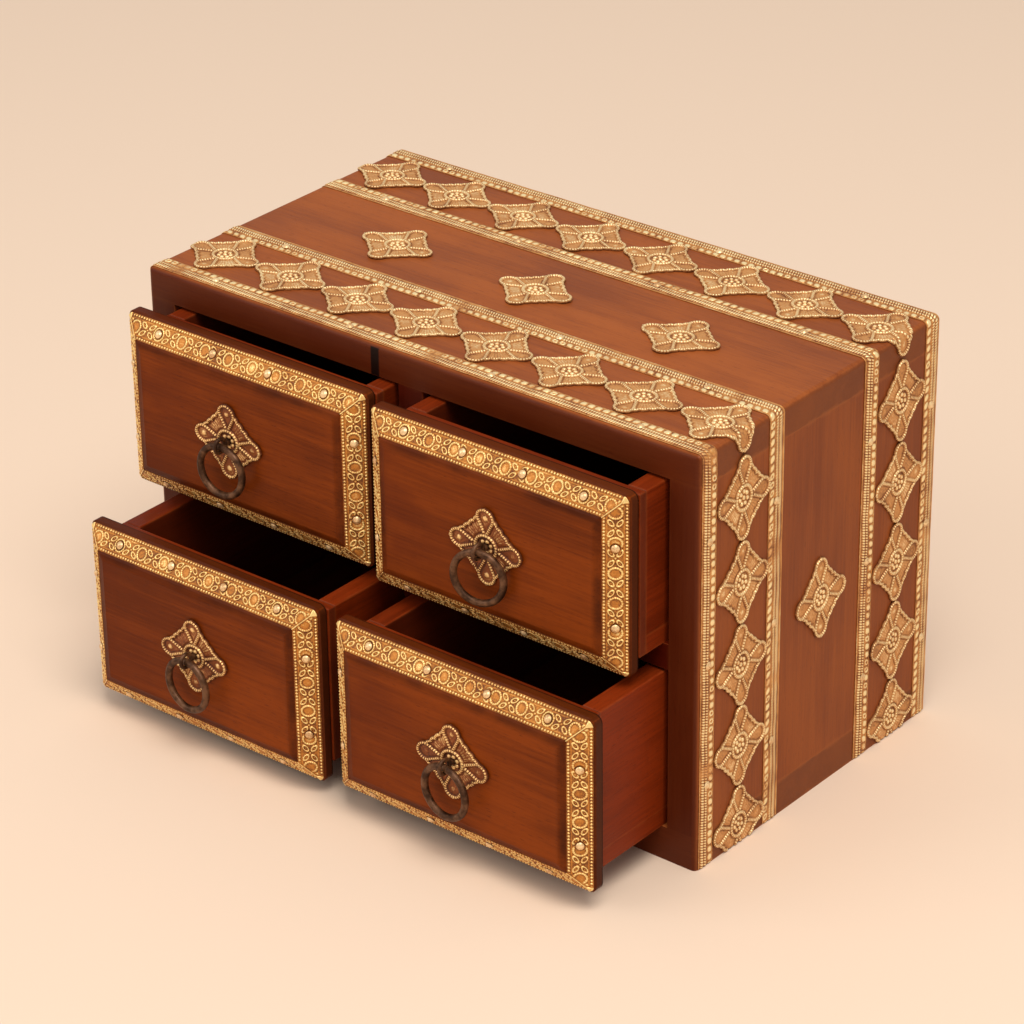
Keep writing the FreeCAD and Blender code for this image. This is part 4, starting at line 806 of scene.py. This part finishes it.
def trim_relief(walk, deep, length, dice):
    """Embossing of a trim from 0 to 1, with its ticks and how deep they cut. `walk` is along
    the strip from its middle, `deep` down the slope from its outer edge, `length` that of the
    side. Rings stand one pitch apart, with crosses half way between; some rings hold a dome,
    some a flat. The relief is the highest of the parts, and flat round each tack."""
    walk, deep = np.broadcast_arrays(walk, deep)
    wide = (TRIM_IN - TRIM_OUT) * SLOPE / BEVEL_WIDTH
    pitch = length / max(3, round(length / RING_PITCH))
    middle = deep - wide / 2
    ring_at = np.round(walk / pitch - 0.5) + 0.5
    aside = walk - ring_at * pitch
    far = np.hypot(aside / 0.95, middle / 1.06)
    ticks = np.arctan2(middle, aside) * RING_NICKS / (2 * math.pi)
    ring = ridge(far - 2.22, 0.5)
    domed = dice.random(64)[(ring_at + 32).astype(int) % 64] > 0.6
    core = np.where(domed, 0.30 + 0.26 * ridge(far, 1.7), 0.24 + 0.1 * ridge(far, 1.8))
    # Crosses: each leaf is an oval loop with a vein, on a line leaning by 38 degrees.
    aside = walk - np.round(walk / pitch) * pitch
    lean = math.radians(38)
    ahead = np.abs(aside) * math.cos(lean) + np.abs(middle) * math.sin(lean)
    beside = np.abs(middle) * math.cos(lean) - np.abs(aside) * math.sin(lean)
    leaf = np.hypot((ahead - 2.5) / 1.75, beside / 0.95)
    loop, vein = 0.9 * ridge(leaf - 0.78, 0.28), 0.5 * ridge(leaf, 0.3)
    hub = 0.7 * ridge(np.hypot(aside, middle), 0.5)
    cross = np.maximum.reduce([loop, vein, hub]) * (far > 2.7)
    # Small beads along both edges, between two fine lines.
    near = (walk + PEARL_PITCH / 2) % PEARL_PITCH - PEARL_PITCH / 2
    pearls = []
    for line in (deep - 0.72, deep - wide + 0.72):
        pearls.append(np.sqrt(np.clip(1 - np.abs(near) / PEARL - (line / PEARL) ** 2, 0, 1)))
        pearls.append(0.42 * ridge(np.abs(line) - 0.95, 0.2))
    relief = np.maximum.reduce(
        [ring, core * (far < 1.8), cross, *pearls, np.full_like(ring, 0.18)]
    )
    # A tack's head is driven into the strip and flattens what is round it.
    run = length - TRIM_IN + TRIM_OUT
    gap = run / round(run / TACK_PITCH)
    from_tack = (walk + run / 2) % gap - gap / 2
    relief = relief * soft_step(np.hypot(from_tack, middle), 1.5, 2.3)
    return relief, ticks, 0.4 * ring


def turned_to(side, walk, off):
    """The x and z of a point at a walk along one side of the face and a distance off its
    middle: the bottom side, turned by a quarter circle for each side after it."""
    cos, sin = math.cos(side * math.pi / 2), math.sin(side * math.pi / 2)
    return walk * cos + off * sin, walk * sin - off * cos


trim_brass = brass_material(
    "trim_brass", stained(108, 54, 12), stained(200, 128, 48), stained(255, 222, 146)
)
for number, drawer in enumerate(DRAWERS):
    low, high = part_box(drawer + "_face_board")
    middle_x, middle_z = (low.x + high.x) * 500, (low.z + high.z) * 500
    half_x, half_z = (high.x - low.x) * 500, (high.z - low.z) * 500
    back_y = high.y * 1000
    inset = np.linspace(TRIM_OUT, TRIM_IN, TRIM_ROWS)
    corner = np.maximum(FACE_CORNER - inset, 0.25)
    deep = (inset - TRIM_OUT) * SLOPE / BEVEL_WIDTH
    dice = np.random.default_rng(500 + number)
    # Four sides in turn, bottom, right, top, left: a side is straight between its rounded
    # corners, and a few columns sweep round each corner to the next side.
    strip = []
    for side in range(4):
        long_half, short_half = (half_x, half_z) if side % 2 == 0 else (half_z, half_x)
        steps = round(2 * (long_half - FACE_CORNER) / TRIM_STEP)
        reach = (long_half - inset - corner)[None, :]
        walk = np.linspace(-1, 1, steps)[:, None] * reach
        off = np.broadcast_to((short_half - inset)[None, :], walk.shape)
        mitre = np.clip((reach - np.abs(walk)) / 1.2, 0, 1)
        relief, turns, cuts = trim_relief(walk, deep[None, :], 2 * (long_half - TRIM_OUT), dice)
        relief = relief * (0.35 + 0.65 * mitre)
        strip.append((*turned_to(side, walk, off), relief, turns, cuts * mitre))
        sweep = np.linspace(0, math.pi / 2, 7)[1:-1, None]
        walk = reach + corner[None, :] * np.sin(sweep)
        off = (short_half - inset - corner)[None, :] + corner[None, :] * np.cos(sweep)
        plain = np.zeros(walk.shape)
        strip.append((*turned_to(side, walk, off), plain + 0.8, plain, plain))
    x, z, relief, turns, cuts = (np.concatenate(parts) for parts in zip(*strip))
    round_it = np.arange(len(x))[:, None] * TRIM_STEP
    rub = 0.95 + 0.12 * wander(round_it, 60, 520 + number)
    out = 0.12 + 0.40 * relief + 0.02 * wander(round_it, 31, 540 + number)
    forward = FACE_RIM + BEVEL_RISE * inset / BEVEL_WIDTH
    # The slope's own square direction points forward and out from the middle of the face: by
    # x at the sides and z at top and bottom, and blended between them over the mitres.
    lean, level = BEVEL_RISE / SLOPE, BEVEL_WIDTH / SLOPE
    side_gap = (half_x - np.abs(x)) - (half_z - np.abs(z))
    share = np.clip(side_gap / 1.2 + 0.5, 0, 1)
    skin = np.stack([
        middle_x + x + np.sign(x) * (1 - share) * lean * out,
        back_y - forward[None, :] - level * out,
        middle_z + z + np.sign(z) * share * lean * out,
    ], axis=-1)
    ends = [-1, 0]
    back = np.stack([
        middle_x + x[:, ends], np.broadcast_to(back_y - forward[ends], (len(x), 2)) - SEAT,
        middle_z + z[:, ends],
    ], axis=-1)
    points = np.concatenate([skin, back], axis=1)
    shade = (0.06 + shade_of(relief, 2)) * rub
    trim = make_piece(
        drawer + "_trim_embossed", points, tube_faces(points.shape[0], points.shape[1], True),
        with_back(shade), with_back(turns), with_back(cuts),
    )
    trim.data.materials.append(trim_brass)
    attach(trim, drawer + "_drawer")
    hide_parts(drawer + "_trim")
    dress(drawer + "_trim_nails", tack_brass)


# -------------------------------------------------------------- ring pulls
# A rosette on each field backs the pull: an iron split pin goes through its middle, and a
# forged iron ring hangs in the pin's eye. The rosette's petals have curled forward a little,
# and its lower half is knocked flatter by the ring.

iron, tree, shader = new_material("old_iron")
place = tree.nodes.new("ShaderNodeTexCoord").outputs["Object"]
rust = noise_node(tree, place, (260, 260, 260), 4.0, 0.6)
scale_marks = noise_node(tree, place, (900, 900, 900), 3.0, 0.6)
rusty = spread_node(tree, rust, 0.36, 0.68)
wire(tree, shader, {
    "Base Color": blend_node(tree, rusty, stained(62, 38, 22), stained(112, 74, 46)),
    "Roughness": spread_node(tree, scale_marks, 0.3, 0.7, 0.38, 0.58),
    "Metallic": spread_node(tree, rust, 0.35, 0.7, 0.75, 0.35),
    "Normal": bump_node(tree, scale_marks, 0.35, 0.0002),
})


def lay_on_face(middle_x, middle_z, plate_y):
    """A way of putting down a rosette upright on a face: u is added to x, v to z, and out
    comes forward from the plate's back."""
    def put(u, v, out):
        return np.stack([middle_x + u, plate_y - out, middle_z + v], axis=-1)
    return put


# The pull brass is darker than the rosettes' on the case: dirt, and painted shade of the front.
shaded_pull_brass = brass_material(
    "shaded_pull_brass", stained(74, 30, 8), stained(140, 72, 26), stained(255, 210, 140)
)
for number, drawer in enumerate(DRAWERS):
    low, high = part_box(drawer + "_pull_rosette")
    put = lay_on_face((low.x + high.x) * 500, (low.z + high.z) * 500, high.y * 1000)
    reach_u, reach_v = (high.x - low.x) * 500, (high.z - low.z) * 500
    sheet = rosette_sheet(put, reach_u, reach_v, 600 + number, height=0.95, curl=1.6)
    rosette = make_piece(drawer + "_pull_rosette_embossed", *sheet)
    rosette.data.materials.append(shaded_pull_brass)
    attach(rosette, drawer + "_drawer")
    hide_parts(drawer + "_pull_rosette")
    dress(drawer + "_split_pin", iron)
    dress(drawer + "_ring", iron)


# ------------------------------------------------------- floor, light, camera
# Not part of the box: a plain pale floor, one large soft lamp high over the front right, a
# weak fill from the left, and the camera looking down on the front right corner.

floor_mesh = bpy.data.meshes.new("floor")
floor_mesh.from_pydata([(-4, -4, 0), (4, -4, 0), (4, 4, 0), (-4, 4, 0)], [], [(0, 1, 2, 3)])
floor = bpy.data.objects.new("floor", floor_mesh)
bpy.context.scene.collection.objects.link(floor)
floor_paper, tree, shader = new_material("floor_paper")
shader.inputs["Base Color"].default_value = stained(238, 214, 192)
shader.inputs["Roughness"].default_value = 0.9
floor_mesh.materials.append(floor_paper)


def add_lamp(name, place, aim, size, power, tint):
    """A square soft lamp of that size in metres at a place, turned to face the aim."""
    lamp = bpy.data.lights.new(name, "AREA")
    lamp.shape, lamp.size, lamp.energy, lamp.color = "SQUARE", size, power, tint
    holder = bpy.data.objects.new(name, lamp)
    bpy.context.scene.collection.objects.link(holder)
    away = Vector(np.array(place) - np.array(aim))
    facing = away.to_track_quat("Z", "Y").to_matrix().to_4x4()
    holder.matrix_world = Matrix.Translation(place) @ facing


BOX_MIDDLE = (0, 0, 0.08)                                   # metres
add_lamp("key_lamp", (0.75, -0.55, 1.95), BOX_MIDDLE, 1.1, 30, (1.0, 0.95, 0.88))
add_lamp("fill_lamp", (-1.2, -1.5, 1.2), BOX_MIDDLE, 1.2, 10, (1.0, 0.95, 0.9))
room = bpy.data.worlds.new("room")
room.use_nodes = True
room.node_tree.nodes["Background"].inputs["Color"].default_value = (1.0, 0.95, 0.9, 1)
room.node_tree.nodes["Background"].inputs["Strength"].default_value = 0.55
bpy.context.scene.world = room

# The lens is 3887.87 pixels long, for a frame 1024 pixels wide on a 36 mm sensor.
lens = bpy.data.cameras.new("camera")
lens.sensor_width, lens.lens = 36.0, 3887.87 * 36.0 / 1024
lens.clip_start, lens.clip_end = 0.05, 30
camera = bpy.data.objects.new("camera", lens)
bpy.context.scene.collection.objects.link(camera)
azimuth, elevation, roll = (math.radians(a) for a in (39.608, 27.710, -0.796))
camera.matrix_world = (
    Matrix.Translation((0.81205, -0.99740, 0.74822))
    @ Matrix.Rotation(azimuth, 4, "Z")
    @ Matrix.Rotation(math.pi / 2 - elevation, 4, "X")
    @ Matrix.Rotation(roll, 4, "Z")
)
bpy.context.scene.camera = camera
bpy.context.scene.view_settings.view_transform = "Standard"
